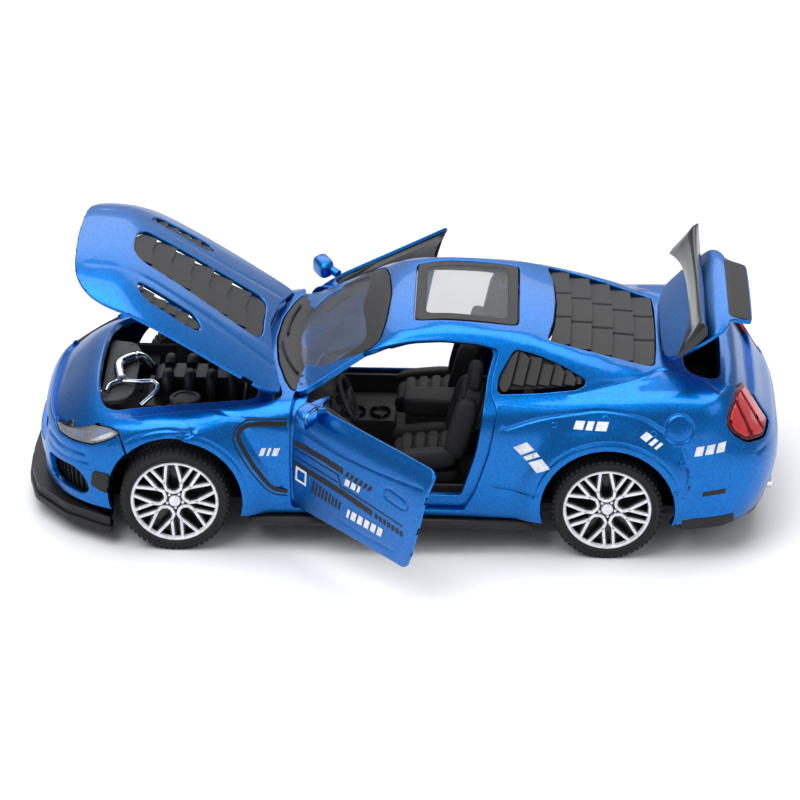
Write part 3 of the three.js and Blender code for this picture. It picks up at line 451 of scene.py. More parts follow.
def triangulated(chart, loops, step, grooves):
    """Flat points and triangles inside the outlines, with extra points along the grooves."""
    edge_step = min(step * 0.6, 1.0)
    rings = [spaced(loop, edge_step) for loop in loops]
    boundary = np.concatenate(rings)
    rows, row_edges = groove_points(chart, grooves, rings, boundary, edge_step * 0.3)
    grid = grid_points(rings, boundary, step, edge_step * 0.6)
    if len(rows) and len(grid):
        grid = far_from(grid, rows, step * 0.4)
    points = np.concatenate([boundary, rows, grid])
    # A line without depth becomes edges of the mesh. A groove needs only its points.
    edges = row_edges if grooves and grooves[0][1] == 0 else []
    start = 0
    for ring in rings:
        n = len(ring)
        edges += [(start + i, start + (i + 1) % n) for i in range(n)]
        start += n
    result = delaunay_2d_cdt([Vector(p) for p in points], edges, [], 0, 1e-5)
    flat = np.array([tuple(v) for v in result[0]])
    tris = np.array([tuple(f) for f in result[2]])
    return flat, tris[within(flat[tris].mean(axis=1), rings)]


def grooved(verts, base, grooves):
    """Presses grooves into laid points and tilts the normals along their walls."""
    normals = base
    for line, deep, width in grooves:
        d, away = nearest_on(verts, np.asarray(line, float))
        drop = deep * np.exp(-(d / width) ** 2)
        slope = drop * 2 * d / width ** 2
        away -= base * np.sum(away * base, axis=1)[:, None]
        verts = verts - base * drop[:, None]
        normals = normals - away * slope[:, None]
    return verts, normals / np.linalg.norm(normals, axis=1)[:, None]


def facing_out(verts, tris, base):
    """Drops triangles without area and turns the others to face outwards."""
    first = verts[tris[:, 0]]
    cross = np.cross(verts[tris[:, 1]] - first, verts[tris[:, 2]] - first)
    area = np.linalg.norm(cross, axis=1)
    tris, cross = tris[area > 1e-7], cross[area > 1e-7]
    wrong = np.sum(cross * base[tris[:, 0]], axis=1) < 0
    tris[wrong] = tris[wrong][:, ::-1]
    return tris


def border_of(tris):
    """The mesh edges that belong to one triangle only, each with its third corner."""
    sides = {}
    for tri in tris:
        for i in range(3):
            a, b, c = int(tri[i]), int(tri[(i + 1) % 3]), int(tri[(i + 2) % 3])
            sides[(a, b)] = c
    return [(a, b, c) for (a, b), c in sides.items() if (b, a) not in sides]


def leaving(verts, border, base):
    """Unit vectors that leave the panel at its border, along its own surface."""
    out = np.zeros_like(verts)
    for a, b, c in border:
        e = verts[b] - verts[a]
        e /= max(np.linalg.norm(e), TINY)
        away = (verts[a] + verts[b]) / 2 - verts[c]
        away -= e * (away @ e)
        away /= max(np.linalg.norm(away), TINY)
        out[a] += away
        out[b] += away
    out -= base * np.sum(out * base, axis=1)[:, None]
    length = np.linalg.norm(out, axis=1)
    out[length > 0] /= length[length > 0][:, None]
    return out


def skin(chart, loops, step=1.6, depth=0.0, wall=PANEL, rim=0.22, inner=False, seam=None,
         grooves=()):
    """A panel on the body: vertices, faces and normals. loops are flat outlines, holes after the
    first. depth is how far the panel lies below the surface. seam marks edge points that join
    another patch and get no rim. grooves are (3-D line, depth, half width)."""
    flat, tris = triangulated(chart, loops, step, grooves)
    laid = lift(chart, flat, depth)
    base = outward(laid)
    on_seam = np.zeros(len(laid), bool) if seam is None else seam(laid)
    verts, normals = grooved(laid, base, grooves)
    tris = facing_out(verts, tris, base)
    border = border_of(tris)
    out = leaving(verts, border, base)
    ids = sorted({i for a, b, _ in border for i in (a, b)})
    moved = [i for i in ids if not on_seam[i]]
    verts[moved] -= out[moved] * rim
    all_verts, all_normals = [verts], [normals]
    faces = [tuple(int(k) for k in tri) for tri in tris]
    order = {i: k for k, i in enumerate(ids)}
    previous = {i: i for i in ids}
    count = len(verts)
    start_rows, t_rows, n_rows = verts[ids], out[ids], base[ids]
    stages = []
    if rim:
        for a in (math.pi / 4, math.pi / 2):
            stages.append((math.sin(a) * rim, (1 - math.cos(a)) * rim, a))
    if wall:
        stages.append((rim, wall, math.pi / 2))
    for along, down, angle in stages:
        all_verts.append(start_rows + t_rows * along - n_rows * down)
        all_normals.append(n_rows * math.cos(angle) + t_rows * math.sin(angle))
        current = {i: count + order[i] for i in ids}
        for a, b, _ in border:
            if not (on_seam[a] and on_seam[b]):
                faces.append((previous[b], previous[a], current[a], current[b]))
        previous = current
        count += len(ids)
    if inner and wall:
        back = verts - base * wall
        back[ids] = all_verts[-1]
        all_verts.append(back)
        all_normals.append(-base)
        faces += [tuple(count + int(k) for k in tri[::-1]) for tri in tris]
    return np.concatenate(all_verts), faces, np.concatenate(all_normals)


def merged(*shapes):
    verts, faces, normals, count = [], [], [], 0
    for v, f, n in shapes:
        verts.append(v)
        faces += [tuple(i + count for i in face) for face in f]
        normals.append(n if n is not None else np.zeros_like(v))
        count += len(v)
    plain = all(n is None for _, _, n in shapes)
    return np.concatenate(verts), faces, None if plain else np.concatenate(normals)


def reflected(shape):
    v, f, n = shape
    flip = np.array([1, -1, 1])
    return v * flip, [tuple(reversed(face)) for face in f], None if n is None else n * flip


def both(shape):
    return merged(shape, reflected(shape))


def on_side(shape, side):
    """A shape drawn for the right side, reflected when side is -1."""
    return shape if side > 0 else reflected(shape)


def moved_by(shape, matrix):
    v, f, n = shape
    turned = v @ matrix[:3, :3].T + matrix[:3, 3]
    return turned, f, None if n is None else n @ matrix[:3, :3].T


MADE = []


def piece(name, shape, body, material, nodes=(), sharp=35, bevel=0.0):
    """Makes one object of the car from a shape in millimetres."""
    MADE.append(name)
    verts, faces, normals = shape
    mesh = bpy.data.meshes.new(name)
    mesh.from_pydata((verts * MM).tolist(), [], faces)
    mesh.validate()
    mesh.polygons.foreach_set("use_smooth", [True] * len(mesh.polygons))
    obj = bpy.data.objects.new(name, mesh)
    bpy.context.scene.collection.objects.link(obj)
    if normals is not None and len(mesh.vertices) == len(normals):
        mesh.normals_split_custom_set_from_vertices(normals.tolist())
    else:
        mesh.set_sharp_from_angle(angle=sharp * RAD)
        if bevel:
            soft = obj.modifiers.new("edge_radius", "BEVEL")
            soft.width = bevel * MM
            soft.segments = 2
            soft.limit_method = "ANGLE"
            soft.angle_limit = 40 * RAD
            soft.harden_normals = False
    mesh.materials.append(material)
    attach(obj, body)
    if nodes:
        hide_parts(*nodes)
    return obj


def tell(group):
    print(group, "- pieces so far:", len(MADE))


print("rows of points along a groove", len(GROOVE_ROWS))

# %% [markdown]
# ## Finishes
# Every finish is a node material. The paint is a blue base with fine metal flake under a clear
# coat, so the sides stay deep while the upward faces pick up the pale room. Moulded parts get a
# faint grain, which keeps them from looking like flat colour.

# %% Materials
def material(name, color, roughness, metallic=0.0, grain=0.0, scale=400, **sockets):
    """A principled material with a little procedural variation in tone and surface."""
    mat = bpy.data.materials.new(name)
    mat.use_nodes = True
    nodes, links = mat.node_tree.nodes, mat.node_tree.links
    shader = nodes["Principled BSDF"]
    shader.inputs["Roughness"].default_value = roughness
    shader.inputs["Metallic"].default_value = metallic
    for socket, value in sockets.items():
        shader.inputs[socket.replace("_", " ")].default_value = value
    place = nodes.new("ShaderNodeTexCoord")
    noise = nodes.new("ShaderNodeTexNoise")
    noise.inputs["Scale"].default_value = scale
    noise.inputs["Detail"].default_value = 3
    links.new(place.outputs["Object"], noise.inputs["Vector"])
    tones = nodes.new("ShaderNodeValToRGB")
    dark = [c * 0.86 for c in color]
    light = [min(c * 1.12, 1) for c in color]
    tones.color_ramp.elements[0].position = 0.35
    tones.color_ramp.elements[0].color = (*dark, 1)
    tones.color_ramp.elements[1].position = 0.65
    tones.color_ramp.elements[1].color = (*light, 1)
    links.new(noise.outputs["Fac"], tones.inputs["Fac"])
    links.new(tones.outputs["Color"], shader.inputs["Base Color"])
    if grain:
        bump = nodes.new("ShaderNodeBump")
        bump.inputs["Strength"].default_value = grain
        bump.inputs["Distance"].default_value = 0.00005
        links.new(noise.outputs["Fac"], bump.inputs["Height"])
        links.new(bump.outputs["Normal"], shader.inputs["Normal"])
    return mat


def metallic_paint(name):
    mat = bpy.data.materials.new(name)
    mat.use_nodes = True
    nodes, links = mat.node_tree.nodes, mat.node_tree.links
    shader = nodes["Principled BSDF"]
    shader.inputs["Roughness"].default_value = 0.36
    shader.inputs["Metallic"].default_value = 1.0
    shader.inputs["Coat Weight"].default_value = 0.35
    shader.inputs["Coat Roughness"].default_value = 0.06
    place = nodes.new("ShaderNodeTexCoord")
    flake = nodes.new("ShaderNodeTexVoronoi")
    flake.inputs["Scale"].default_value = 5200
    links.new(place.outputs["Object"], flake.inputs["Vector"])
    cloud = nodes.new("ShaderNodeTexNoise")
    cloud.inputs["Scale"].default_value = 90
    links.new(place.outputs["Object"], cloud.inputs["Vector"])
    bright = nodes.new("ShaderNodeSeparateColor")
    links.new(flake.outputs["Color"], bright.inputs["Color"])
    tones = nodes.new("ShaderNodeValToRGB")
    tones.color_ramp.elements[0].color = (0.0, 0.105, 0.40, 1)
    tones.color_ramp.elements[1].color = (0.0, 0.18, 0.60, 1)
    links.new(bright.outputs["Red"], tones.inputs["Fac"])
    shade = nodes.new("ShaderNodeMix")
    shade.data_type = "RGBA"
    shade.blend_type = "MULTIPLY"
    shade.inputs["Factor"].default_value = 0.12
    links.new(tones.outputs["Color"], shade.inputs["A"])
    links.new(cloud.outputs["Fac"], shade.inputs["B"])
    links.new(shade.outputs["Result"], shader.inputs["Base Color"])
    bump = nodes.new("ShaderNodeBump")
    bump.inputs["Strength"].default_value = 0.12
    bump.inputs["Distance"].default_value = 0.00002
    links.new(bright.outputs["Green"], bump.inputs["Height"])
    links.new(bump.outputs["Normal"], shader.inputs["Normal"])
    return mat


PAINT = metallic_paint("metallic_blue_paint")
BLACK = material("satin_black", (0.008, 0.008, 0.009), 0.48, grain=0.25, scale=1500,
                 Specular_IOR_Level=0.34)
MATT = material("matt_black_plastic", (0.010, 0.010, 0.011), 0.62, grain=0.5, scale=2200,
                Specular_IOR_Level=0.3)
CABIN = material("cabin_plastic", (0.014, 0.014, 0.015), 0.7, grain=0.6, scale=1800)
GREY = material("dark_grey_card", (0.045, 0.045, 0.048), 0.6, grain=0.4, scale=1500)
GLOSS = material("gloss_black", (0.008, 0.008, 0.009), 0.16, scale=600)
BORDER = material("window_border_print", (0.012, 0.012, 0.013), 0.5, scale=600,
                  Specular_IOR_Level=0.35)
RUBBER = material("tyre_rubber", (0.012, 0.012, 0.013), 0.78, grain=0.5, scale=1400,
                  Specular_IOR_Level=0.35)
WHITE = material("white_print", (0.72, 0.74, 0.78), 0.45, scale=900)
WHEEL_WHITE = material("wheel_white", (0.8, 0.81, 0.84), 0.3, 0.2, scale=900, Coat_Weight=0.4)
PLATING = material("bright_plating", (0.75, 0.77, 0.8), 0.13, 1.0, scale=300)
STEEL = material("bright_steel", (0.5, 0.5, 0.51), 0.35, 1.0, grain=0.2, scale=1200)
BRASS = material("brass", (0.62, 0.42, 0.14), 0.35, 1.0, grain=0.2, scale=1200)
SMOKED = material("smoked_clear", (0.10, 0.105, 0.11), 0.22, scale=200, Alpha=0.34,
                  Specular_IOR_Level=0.4)
LENS = material("lamp_clear", (0.7, 0.72, 0.75), 0.05, scale=200, Alpha=0.14)
RED_LENS = material("lamp_red", (0.62, 0.012, 0.02), 0.08, scale=500, Transmission_Weight=0.25,
                    Coat_Weight=0.8)
DARK_RED = material("tail_lamp_dark_red", (0.09, 0.004, 0.006), 0.12)
REFLECTOR = material("lamp_reflector", (0.9, 0.92, 0.95), 0.4, 0.0, scale=500)
print("materials", len(bpy.data.materials))

# %% [markdown]
# ## Outlines of the openings
# These are the shut lines. Bonnet, lid, windscreen, sunroof and louvre are drawn from above, doors
# and quarter lights from the side, lamps and grilles from the ends.

# %% Outlines
HOOD = softened(closed([(-70.2, 0), (-69.9, 8), (-69.2, 14), (-68, 17.6), (-66, 20.6), (-63.4, 22.8),
                        (-60, 24.2), (-54, 24.8), (-46, 25), (-36, 25), (-27, 24.6), (-24.2, 23.6),
                        (-23.4, 22.4), (-26.6, 12), (-28.4, 0)]), 1.2)
BAY = softened(closed([(-61.5, 0), (-61, 12), (-59.5, 19), (-57, 21), (-46, 21.4), (-28, 21.4), (-26, 20.5),
                       (-27.5, 12), (-29.5, 0)]), 1.0)
CENTRE_VENT = softened(closed([(-60.2, 0), (-60, 4), (-58.2, 6.6), (-44, 7.8), (-31, 9), (-30, 6),
                               (-30.2, 0)]), 0.8)
SIDE_VENT = softened([(-58, 14.6), (-55.6, 18.4), (-45, 19.6), (-42.6, 18.6), (-44.6, 15.2)], 1.0)
LID_TOP = [(51.9, 0), (52, 12), (52.6, 15.6), (54.6, 17.6), (60, 19), (64, 19.4), (66.6, 18.8)]
TRUNK = softened(closed([(55, 0), (55.4, 12), (56.6, 15), (60, 16.4), (62.4, 16.4), (63.4, 15),
                         (63.8, 0)]), 1)
DOOR = softened([(-20.7, 9.4), (-20.9, 20), (-20.7, 30.6), (-19.8, 31.9), (0, 32), (17.5, 32.1),
                 (18.6, 31), (17, 22), (14.4, 13.5), (12.4, 9.4)], 0.8)
DOOR_HOLE = softened([(-21.1, 9.0), (-21.3, 20), (-21.1, 31.2), (-19.2, 32.6), (-16.4, 33.9), (-10.5, 37),
                      (-3.6, 40), (2, 41.1), (8, 41.4), (15, 41), (19.2, 40.2), (17.9, 36), (17.6, 32.9),
                      (19, 31.1), (17.4, 22), (14.8, 13.3), (12.7, 9.0)], 0.6)
CABIN_HOLE = softened([(-18.2, 12), (-18.4, 30.6), (-16.2, 33.2), (-10.0, 36.6), (-3.2, 39.5),
                       (2, 40.6), (8, 40.9), (15, 40.5), (18.4, 39.8), (17.0, 35.6), (16.4, 31),
                       (15, 22), (12.2, 12)], 0.8)
QUARTER = softened([(19.2, 33.5), (19.5, 36), (22.4, 40.1), (26, 39.4), (31, 37.8), (35.4, 35.7),
                    (36.2, 35), (34.6, 34.3), (27, 33.8)], 0.5)
SCREEN = softened(closed([(-25.2, 0), (-24.4, 10), (-22.4, 18.4), (-20.6, 22.4), (-12, 19.6), (-4.4, 17.2),
                          (-3.2, 10), (-2.6, 0)]), 1.2)
SUNROOF = softened(closed([(2.6, 0), (2.6, 12.2), (3.4, 13), (22, 13.6), (22.8, 12.8), (22.8, 0)]), 0.7)
LOUVRE = softened(closed([(30.6, 0), (30.2, 9), (29, 16.6), (40, 16.4), (49.6, 15.4), (50, 9),
                          (50.1, 0)]), 0.7)


def on_body(points, chart):
    """Lifts a flat outline to the body."""
    return lift(chart, points)


def snapped(points, chart):
    """Puts rough 3-D points exactly on the body along a chart's rays."""
    return lift(chart, read(chart, points))


LAMP_DOME = domed(-52, 14, 17)
TAIL_DOME = domed(56, 14, 22)
HEADLIGHT_ROUGH = [(-68.2, 17.4, 21.6), (-68.1, 17.4, 23.0), (-66.5, 20.9, 23.6), (-63.8, 23.2, 24.1),
                   (-60.4, 25.2, 25.0), (-57.2, 26.9, 25.3), (-54.9, 28.2, 24.7), (-57.2, 28.1, 23.2),
                   (-60.6, 26.4, 21.3), (-64, 23.4, 20.7), (-66.8, 20, 20.6)]
HEADLIGHT = on_body(softened(read(LAMP_DOME, snapped(HEADLIGHT_ROUGH, LAMP_DOME)), 0.5), LAMP_DOME)
TAIL_ROUGH = [(71.8, 14.0, 23.6), (69.4, 13.9, 28.4), (67.2, 13.9, 32.4), (66.9, 17.4, 33.4),
              (66.6, 21.8, 33.2), (65.4, 26.2, 31.7), (64.9, 28.6, 29.6), (66.2, 28.0, 27.0),
              (68.4, 26.0, 24.4), (70.8, 20.4, 23.0)]
TAIL_LAMP = on_body(softened(read(TAIL_DOME, snapped(TAIL_ROUGH, TAIL_DOME)), 0.5), TAIL_DOME)


def widened(outline, distance, chart):
    return on_body(grown(read(chart, outline), distance), chart)


HEADLIGHT_HOLE = widened(HEADLIGHT, FIT, LAMP_DOME)
TAIL_HOLE = widened(TAIL_LAMP, FIT, TAIL_DOME)
for name, lamp in (("headlight", HEADLIGHT), ("tail lamp", TAIL_LAMP)):
    print(name, lamp.min(axis=0).round(1).tolist(), lamp.max(axis=0).round(1).tolist())

# %% [markdown]
# ## The cast body
# The shell is one casting from the headlights to the tail, so it is one patch here too, fanned
# round the section, with the bonnet and lid openings cut into its ends. The rounded tail needs
# rays of its own. The two patches share a line just ahead of the tail lamps and have no edge there,
# so no joint shows. The front bumper is a separate plastic piece with a short visible joint
# between the headlight and the wheel arch.

# %% Body shell, tail and front bumper
def path(loop, start, end, via):
    """The stretch of a closed 3-D loop from start to end that passes near via."""
    loop = np.asarray(loop)

    def index(point):
        return int(np.linalg.norm(loop - np.array(point), axis=1).argmin())

    i, j = index(start), index(end)
    forward = [loop[(i + k) % len(loop)] for k in range((j - i) % len(loop) + 1)]
    backward = [loop[(i - k) % len(loop)] for k in range((i - j) % len(loop) + 1)]
    passed = [np.linalg.norm(np.array(way) - via, axis=1).min() for way in (forward, backward)]
    return np.array(forward if passed[0] < passed[1] else backward)


def arch(axle, start, end, radius=ARCH_R, count=22):
    """Points on the side of the body round a wheel arch, between two angles in degrees."""
    a = np.linspace(start, end, count) * RAD
    flat = stack(axle + radius * np.cos(a), ARCH_Z + radius * np.sin(a))
    return lift(SIDE[1], flat)


def side_line(*points):
    return lift(SIDE[1], spaced(points, 0.5, ring=False))


def mirror_path(points):
    return np.asarray(points)[::-1] * [1, -1, 1]


SILL_ANGLE = math.degrees(math.asin((SILL_Z - ARCH_Z) / ARCH_R))
JOINT_ANGLE = 136
JOINT_HALF = 0.15
SEAM_X = 59.5
LAMP_TIP = (-55.1, 27.7, 24.3)
TAIL_TIP = (63.9, 26.8, 28.8)
FAN = fanned(58, 24, 10)
FRONT_FAN = fanned(-50, 12, 24)
LID_ROUGH = [(x, y, float(top_height(np.array([x]), np.array([y]))[0])) for x, y in LID_TOP]
LID_ROUGH += [(67.6, 16.4, 33.0), (67.7, 13.6, 32.6), (69.4, 13.2, 29.4), (69.8, 12.6, 28.7),
              (70, 0, 28.7)]
LID_ROUGH += [(x, -y, z) for x, y, z in reversed(LID_ROUGH) if y > 0]
LID = on_body(softened(read(FAN, np.array(LID_ROUGH)), 0.9), FAN)
LID_HOLE = widened(LID, GAP, FAN)
HOOD_HOLE = on_body(grown(HOOD, GAP), OVER)

hood_notch = path(HOOD_HOLE, (-59.6, 24.6, 24.9), (-59.6, -24.6, 24.9), (-28, 0, 32))
lid_notch = path(LID_HOLE, (65.6, -19.8, 33), (65.6, 19.8, 33), (51.5, 0, 35))
lamp_top = path(HEADLIGHT_HOLE, LAMP_TIP, (-60, 24.4, 24.7), (-57, 26, 25))
tail_top = path(TAIL_HOLE, (65.8, 19.8, 32.7), TAIL_TIP, (64.5, 24.7, 31))
ARCH_JOINT = (AXLE_F + ARCH_R * math.cos(JOINT_ANGLE * RAD),
              ARCH_Z + ARCH_R * math.sin(JOINT_ANGLE * RAD))
bumper_joint = side_line(ARCH_JOINT, (-54.2, 22.6), (-54.9, 24.0))
TAIL_SEAM = np.concatenate([side_line((SEAM_X, SILL_Z), (SEAM_X, 25.5), (61.6, 27.8)),
                            path(TAIL_HOLE, TAIL_TIP, TAIL_TIP, TAIL_TIP)[:1]])
TAIL_SEAM = lift(HOOP, spaced(read(HOOP, TAIL_SEAM), 0.5, ring=False))

right_half = np.concatenate([
    tail_top, TAIL_SEAM[::-1][1:],
    side_line((SEAM_X, SILL_Z), (54, SILL_Z))[1:],
    arch(AXLE_R, SILL_ANGLE, 180 - SILL_ANGLE),
    side_line((28, SILL_Z), (-31, SILL_Z)),
    arch(AXLE_F, SILL_ANGLE, JOINT_ANGLE) + [JOINT_HALF, 0, 0],
    bumper_joint[1:] + [JOINT_HALF, 0, 0],
    lamp_top[1:],
])
SHELL = read(HOOP, np.concatenate([right_half, hood_notch, mirror_path(right_half), lid_notch]))


def hoop_side(flat, side):
    """A side outline read in the hoop chart."""
    return read(HOOP, lift(SIDE[side], flat))


def on_tail_seam(points):
    """Marks the points that lie on the joint line of shell and tail, on either side."""
    right, _ = nearest_on(points, TAIL_SEAM)
    left, _ = nearest_on(points * [1, -1, 1], TAIL_SEAM)
    return np.minimum(right, left) < 0.06


shell_loops = [SHELL]
for outline in (SCREEN, SUNROOF, LOUVRE):
    shell_loops.append(read(HOOP, on_body(grown(outline, FIT), OVER)))
for side in (1, -1):
    shell_loops.append(hoop_side(DOOR_HOLE, side))
    shell_loops.append(hoop_side(grown(QUARTER, FIT), side))
CAP_AT, CAP_R = (54.5, 28.4), 2.7


def ring_line(centre, radius, start=0, end=360, count=40):
    a = np.linspace(start, end, count) * RAD
    return stack(centre[0] + radius * np.cos(a), centre[1] + radius * np.sin(a))


def side_both(flat):
    return [lift(SIDE[1], flat), lift(SIDE[1], flat) * [1, -1, 1]]


def along(*points, count=40):
    """A smooth flat line through (x, z) points given from nose to tail."""
    x = np.linspace(points[0][0], points[-1][0], count)
    return stack(x, curve(*points)(x))


def upright(*points, count=24):
    """A smooth flat line through (x, z) points given from the bottom up."""
    z = np.linspace(points[0][1], points[-1][1], count)
    return stack(curve(*[(b, a) for a, b in points])(z), z)


FLARE = along((20.8, 27.5), (27, 29.6), (34.4, 31.0), (40, 31.5), (47.4, 30.3), (51.8, 27.9))
FLARE_BACK = upright((55.7, 14.6), (56.8, 19), (56.7, 22.1), (55.9, 24.2))
FENDER_CREASE = along((-60.5, 28.3), (-57.5, 29.3), (-53.2, 30.0), (-46, 30.0), (-37.8, 29.3),
                      (-30, 28.3), (-22.4, 27.1))
SHOULDER = along((33.5, 33.4), (42.8, 34.6), (50, 35.0), (58.2, 34.6), (62.5, 33.9))
LOW_LINE = along((18.7, 15.3), (26.6, 14.2))
SCOOP = np.array([(-30.2, 26.0), (-23.3, 13.9)])
BOLTS = [(40.1, 30.2), (30.2, 28.7), (49.6, 27.6), (55.2, 21.6), (54.4, 15.5)]
ARCH_RING = 14.9
# Each line on the side of the body has a depth and a half width.
side_grooves = [(FLARE, 0.2, 0.3), (FLARE_BACK, 0.2, 0.3), (FENDER_CREASE, 0.2, 0.55),
                (SHOULDER, 0.2, 0.6), (LOW_LINE, 0.15, 0.3), (SCOOP, 0.35, 0.8),
                (ring_line(CAP_AT, CAP_R), 0.25, 0.25),
                (ring_line((AXLE_F, ARCH_Z), ARCH_RING, 10, 128), 0.16, 0.3),
                (ring_line((AXLE_R, ARCH_Z), ARCH_RING, 10, 170), 0.16, 0.3)]
body_grooves = [(line, deep, width) for flat, deep, width in side_grooves for line in side_both(flat)]
shell = skin(HOOP, shell_loops, step=1.7, wall=CAST, rim=0.25, seam=on_tail_seam,
             grooves=body_grooves)
piece("body_shell_skin", shell, "car_body", PAINT, nodes=["body_shell"])

lamp_low = path(TAIL_HOLE, TAIL_TIP, (69.5, 13.6, 28.6), (70.6, 20.4, 22.9))
tail_half = np.concatenate([
    lift(TAIL, spaced([(0, SILL_Z), (read(TAIL, TAIL_SEAM[:1])[0, 0], SILL_Z)], 1.2, ring=False)),
    TAIL_SEAM[1:], lamp_low[1:],
    lift(BEHIND, spaced([(13.2, 28.3), (0, 28.3)], 1.2, ring=False)),
])
TAIL_LOOP = read(TAIL, np.concatenate([tail_half, mirror_path(tail_half)[1:-1]]))
EXHAUST_Y, EXHAUST_Z = 16, 10.6
tail_loops = [TAIL_LOOP]
for side in (1, -1):
    outlet = ring_line((side * EXHAUST_Y, EXHAUST_Z), 2.0, count=24)[:-1]
    tail_loops.append(read(TAIL, lift(BEHIND, outlet)))
BUMPER_LINE = [(-24, 21.6), (-12, 20.8), (0, 20.6), (12, 20.8), (24, 21.6)]
PLATE_LINE = [(-11, 19), (-10.4, 14.2), (0, 14), (10.4, 14.2), (11, 19)]
tail_grooves = [(lift(BEHIND, BUMPER_LINE), 0.18, 0.45), (lift(BEHIND, PLATE_LINE), 0.2, 0.4)]
tail = skin(TAIL, tail_loops, step=1.7, wall=CAST, rim=0.25, seam=on_tail_seam,
            grooves=tail_grooves)
piece("rear_bumper_skin", tail, "car_body", PAINT, nodes=["rear_bumper"])

hood_front = path(HOOD_HOLE, (-68.3, 18.0, 22.9), (-70.6, 0, 22.4), (-69.8, 12, 22.6))
lamp_under = path(HEADLIGHT_HOLE, LAMP_TIP, (-68.1, 17.2, 22.8), (-64, 23.4, 20.6))
chin_start = read(NOSE, lift(AHEAD, [[20.6, SILL_Z]]))[0, 0]
chin_end = read(NOSE, arch(AXLE_F, 180 - SILL_ANGLE, 180, count=2))[0, 0]
nose_half = np.concatenate([
    lift(AHEAD, spaced([(0, SILL_Z), (20, SILL_Z)], 1.2, ring=False)),
    lift(NOSE, spaced([(chin_start, SILL_Z), (chin_end, SILL_Z)], 1.2, ring=False)),
    arch(AXLE_F, 180 - SILL_ANGLE, JOINT_ANGLE)[1:] - [JOINT_HALF, 0, 0],
    bumper_joint[1:] - [JOINT_HALF, 0, 0], lamp_under[1:], hood_front,
])
NOSE_LOOP = read(NOSE, np.concatenate([nose_half, mirror_path(nose_half)[1:-1]]))
GRILLE = softened([(-14.6, 15.2), (-15.4, 20.6), (15.4, 20.6), (14.6, 15.2)], 1.0)
LOWER_GRILLE = softened([(-13, 8.4), (-14.6, 12.4), (14.6, 12.4), (13, 8.4)], 0.8)
DUCT = softened([(17.4, 9.6), (17, 14.6), (25, 15.2), (26.6, 12.4), (26.2, 9.6)], 0.8)
nose_loops = [NOSE_LOOP]
for hole in (GRILLE, LOWER_GRILLE, DUCT, DUCT * [-1, 1]):
    nose_loops.append(read(NOSE, lift(AHEAD, hole)))
nose_grooves = []
for side in (1, -1):
    for line in ([(17, 19.2), (21, 18.6), (26, 18.8)], [(18, 16.8), (22, 16.6), (26.5, 17.2)]):
        flat = np.array([(side * y, z) for y, z in line])
        nose_grooves.append((lift(AHEAD, flat), 0.22, 0.5))
nose = skin(NOSE, nose_loops, step=1.5, wall=CAST, rim=0.3, grooves=nose_grooves)
piece("front_bumper_skin", nose, "car_body", PAINT, nodes=["front_bumper"])
print("shell faces", len(shell[1]), "tail", len(tail[1]), "nose", len(nose[1]))

# %% [markdown]
# ## Ledges round the openings
# A closed panel rests on a narrow step cast into the body. With the panels open these steps are
# what one sees first: the front panel of the bay, the fender edges, the door jambs and the rim of
# the boot. They are the same form, a little over one millimetre lower.

# %% Ledges and jambs
LEDGE_DEPTH = 1.28
WINDOW_Z = 31.5


def ledge(name, chart, outer, inner_edge, wall=1.2):
    shape = skin(chart, [outer, inner_edge], step=1.6, depth=LEDGE_DEPTH, wall=wall, rim=0.25)
    return piece(name, shape, "car_body", PAINT)


hood_step = read(FRONT_FAN, on_body(grown(HOOD, 1.3), OVER))
ledge("bonnet_ledge", FRONT_FAN, hood_step, read(FRONT_FAN, on_body(BAY, OVER)))
boot_step = grown(read(FAN, LID), 1.3)
ledge("boot_ledge", FAN, boot_step, read(FAN, on_body(TRUNK, OVER)))
jamb_out, jamb_near = grown(DOOR_HOLE, 1.1), grown(DOOR_HOLE, 0.3)
# Beside the window the jamb stays narrow, so that it does not reach over the windscreen.
window_part = jamb_out[:, 1] > WINDOW_Z
jamb_out[window_part] = jamb_near[window_part]
for side, name in SIDES.items():
    ledge("door_jamb_" + name, SIDE[side], jamb_out, CABIN_HOLE)
tell("ledges")

# %% [markdown]
# ## Opening panels
# Bonnet, doors and lid are drawn closed, where they share the body's form, and are then turned
# about the hinges of the frame to the open place they have at rest. They need an inner face,
# because an open panel shows its back.

# %% Bonnet, doors and boot lid
OPEN_HOOD = opened("bonnet_hinge")
OPEN_LID = opened("boot_lid_hinge")
OPEN_DOOR = {1: opened("door_right_hinge"), -1: opened("door_left_hinge")}
side_vent_hole = grown(SIDE_VENT, FIT)
hood_loops = [grown(HOOD, -0.06), grown(CENTRE_VENT, FIT), side_vent_hole, side_vent_hole * [1, -1]]
hood_lines = []
for side in (1, -1):
    flat = np.array([(-67, 12.5), (-55, 12.2), (-40, 13.4), (-27, 15.5)]) * [1, side]
    hood_lines.append((lift(OVER, flat), 0.12, 0.9))
hood_skin = skin(OVER, hood_loops, step=1.5, depth=0.03, rim=0.25, inner=True, grooves=hood_lines)
piece("bonnet_panel", moved_by(hood_skin, OPEN_HOOD), "bonnet", PAINT, nodes=["hood_panel"])
HANDLE = softened([(6.2, 22.8), (6.2, 25.2), (13.2, 24.6), (13.2, 22.4)], 1.1)
door_lines = [along((-8, 12.2), (0, 11.8), (9, 12.2)), np.concatenate([HANDLE, HANDLE[:1]]),
              along((-19.6, 27.0), (-8, 26.4), (4, 27.0), (16.4, 28.4))]
for side, name in SIDES.items():
    grooves = [(lift(SIDE[side], line), 0.18, 0.35) for line in door_lines]
    door_skin = skin(SIDE[side], [DOOR], step=1.5, rim=0.25, inner=True, grooves=grooves)
    piece("door_panel_" + name, moved_by(door_skin, OPEN_DOOR[side]), "door_" + name, PAINT,
          nodes=["door_skin_" + name])
